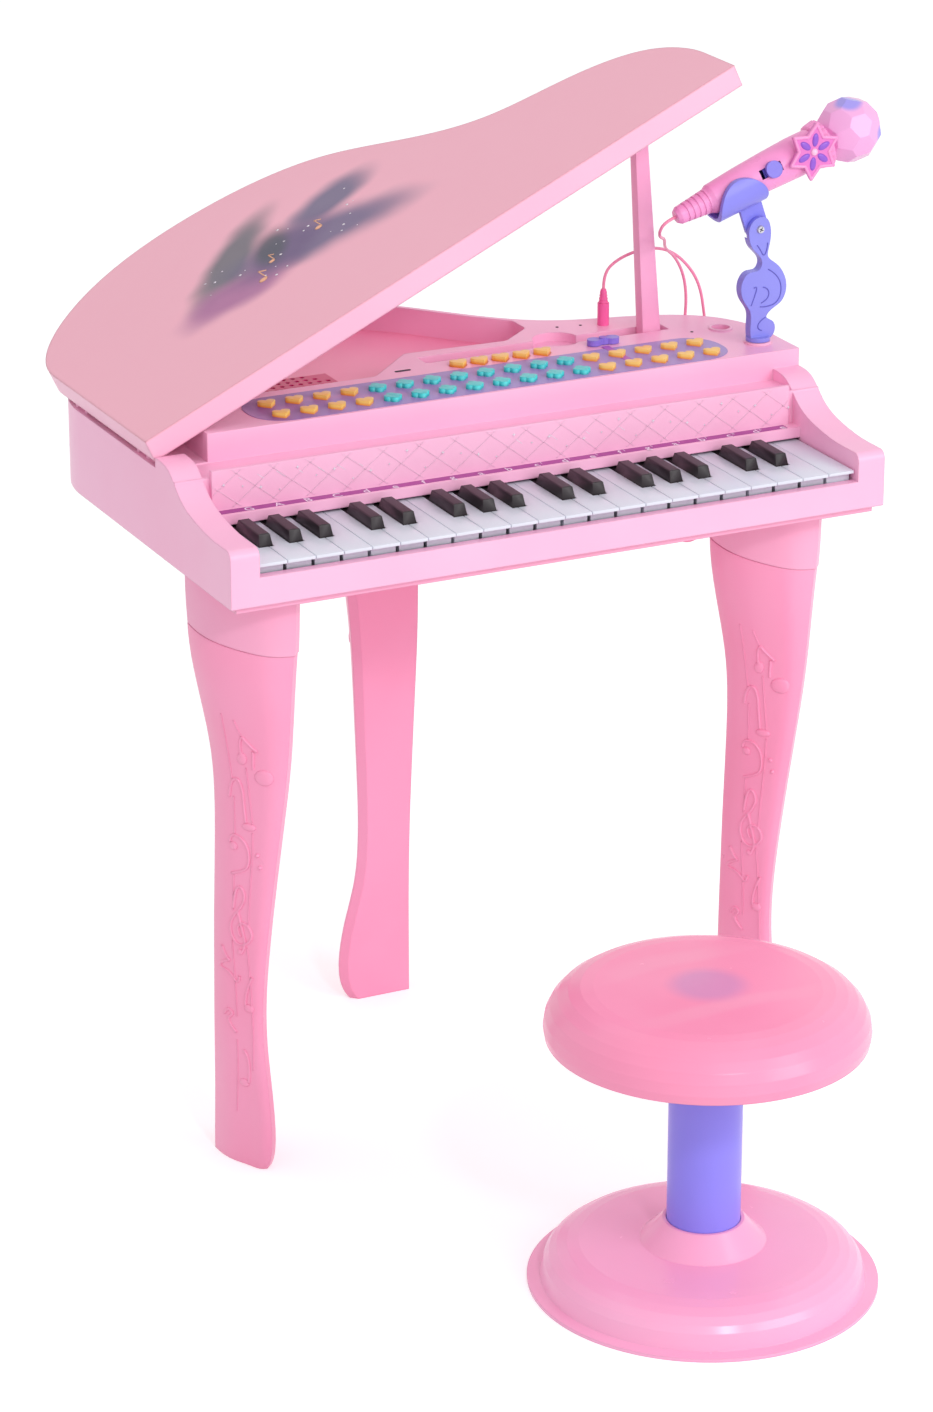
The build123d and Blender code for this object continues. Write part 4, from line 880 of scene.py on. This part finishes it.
# %% Cord
WAY = ((155.5, 144, 177.5), (147, 144, 174.57), (145.5, 149, 166.5), (152, 159, 159.5),
       (167, 180, 152), (184, 212, 135), (200, 225, 124), (212, 232, 105), (216, 236, 80),
       (211, 238, 42), (206, 240, -4), (205.5, 241, -50), (207, 241, -80), (215, 241, -97),
       (231, 240.5, -98), (239, 240, -82), (240, 239.5, -54), (238.5, 238, -12), (236, 237, 32),
       (231, 236, 72), (225, 234, 100), (209, 231, 120), (191, 228, 131), (172, 229, 131),
       (155, 230.5, 125), (145.5, 230, 116.5), (145.5, 230, 105.5))
cord_pink = plastic("cord_pink", paint(250, 152, 188), paint(244, 138, 176), rough=0.4)
curve = bpy.data.curves.new("mic_cord_line", "CURVE")
curve.dimensions = "3D"
curve.bevel_depth, curve.bevel_resolution, curve.resolution_u = 0.0011, 3, 8
curve.use_fill_caps = True
spline = curve.splines.new("NURBS")
spline.points.add(len(WAY) - 1)
for point, place in zip(spline.points, WAY):
    point.co = (*spot(*place), 1.0)
spline.order_u = 3
spline.use_endpoint_u = True
curve.materials.append(cord_pink)
cord = bpy.data.objects.new("cord_of_microphone", curve)
bpy.context.scene.collection.objects.link(cord)
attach(cord, "case")
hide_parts("mic_cord")

# %% [markdown]
# ## Small dark openings on the deck
# A slot beside the third row of buttons and a few pin holes are dark insets of painted shade: they lie
# flush in the button field, so that they read as openings.

# %% Slot and pin holes
# painted shade: dark flush insets where the openings are
holes = bmesh.new()
slab(-36, -24, 189.2, 191.8, DECK, DECK + FOIL, corner=1.2, bm=holes)
for x, y in ((113, 238), (130, 235), (193, 186)):
    bmesh.ops.create_cone(holes, cap_ends=True, segments=20, radius1=1.1 * MM, radius2=1.1 * MM,
                          depth=FOIL * MM, matrix=Matrix.Translation(spot(x, y, DECK + FOIL / 2)))
finish("deck_holes", holes, [shadow_cut], "case")

# %% [markdown]
# ## Floor and light
# The floor is one very large pale sheet. The world gives an even light to the piece and is plain
# white where it is seen directly. One soft lamp stands in front, to the right, and a small
# one near the camera gives the rounded rims their highlights.

# %% Floor, world and lamp
def camera_rays(material_tree):
    """The largest of the three rays that look straight at something: camera, mirror and glass."""
    path = material_tree.nodes.new("ShaderNodeLightPath")
    largest = path.outputs["Is Camera Ray"]
    for other in ("Is Glossy Ray", "Is Transmission Ray"):
        pick = material_tree.nodes.new("ShaderNodeMath")
        pick.operation = "MAXIMUM"
        material_tree.links.new(largest, pick.inputs[0])
        material_tree.links.new(path.outputs[other], pick.inputs[1])
        largest = pick.outputs[0]
    return largest


def round_lamp(name, size, power, place, aim):
    """A soft round lamp at a place, pointed at the spot it should light, in metres."""
    data = bpy.data.lights.new(name, "AREA")
    data.shape, data.size, data.energy = "DISK", size, power
    lamp = bpy.data.objects.new(name, data)
    lamp.location = place
    lamp.rotation_euler = (aim - lamp.location).to_track_quat("-Z", "Y").to_euler()
    bpy.context.scene.collection.objects.link(lamp)


SHEET_HALF = 12.0         # metres from the middle of the floor to its edge
FLOOR_GREY = 0.86
FLOOR_GLOW = 0.36         # lifts the floor to white where it is seen directly
WORLD_LEVEL = 0.77        # light that the world gives to the piece
HEART = Vector((0, 0, 0.45))
KEYBED = Vector((0, 0, 0.35))
sheet = bmesh.new()
bmesh.ops.create_grid(sheet, x_segments=1, y_segments=1, size=SHEET_HALF)
floor_mesh = bpy.data.meshes.new("floor")
sheet.to_mesh(floor_mesh)
sheet.free()
floor = bpy.data.objects.new("floor", floor_mesh)
bpy.context.scene.collection.objects.link(floor)
white = bpy.data.materials.new("floor_white")
white.use_nodes = True
tree = white.node_tree
shader = tree.nodes["Principled BSDF"]
shader.inputs["Base Color"].default_value = (FLOOR_GREY, FLOOR_GREY, FLOOR_GREY, 1.0)
shader.inputs["Roughness"].default_value = 0.9
shader.inputs["Emission Color"].default_value = (1.0, 1.0, 1.0, 1.0)
boost = tree.nodes.new("ShaderNodeMath")
boost.operation = "MULTIPLY"
tree.links.new(camera_rays(tree), boost.inputs[0])
boost.inputs[1].default_value = FLOOR_GLOW
tree.links.new(boost.outputs[0], shader.inputs["Emission Strength"])
floor_mesh.materials.append(white)

world = bpy.data.worlds.new("plain_white")
bpy.context.scene.world = world
world.use_nodes = True
tree = world.node_tree
back = tree.nodes["Background"]
back.inputs["Color"].default_value = (1.0, 1.0, 1.0, 1.0)
level = tree.nodes.new("ShaderNodeMapRange")
tree.links.new(camera_rays(tree), level.inputs["Value"])
level.inputs["To Min"].default_value = WORLD_LEVEL
level.inputs["To Max"].default_value = 1.0
tree.links.new(level.outputs["Result"], back.inputs["Strength"])

round_lamp("soft_lamp", 1.6, 22.0, Vector((0.45, -0.8, 0.4)).normalized() * 2.6 + HEART, HEART)
round_lamp("front_lamp", 0.3, 13.0, spot(-350, -2350, 1500), KEYBED)

# %% [markdown]
# ## The camera
# A long lens from the front and a little from the left, looking slightly down.

# %% Camera
LENS = 118.54
EYE = spot(-1330.75, -2575.21, 1011.85)
GAZE = Vector((0.4091, 0.8385, -0.3598))
camera_data = bpy.data.cameras.new("camera")
camera_data.sensor_fit, camera_data.sensor_width, camera_data.lens = "AUTO", 36.0, LENS
camera_data.clip_end = 50.0
camera = bpy.data.objects.new("camera", camera_data)
camera.location = EYE
camera.rotation_euler = GAZE.to_track_quat("-Z", "Y").to_euler()
bpy.context.scene.collection.objects.link(camera)
bpy.context.scene.camera = camera
bpy.context.scene.view_settings.view_transform = "Standard"

# %% [markdown]
# ## The end

# %% Update the scene
bpy.context.view_layer.update()
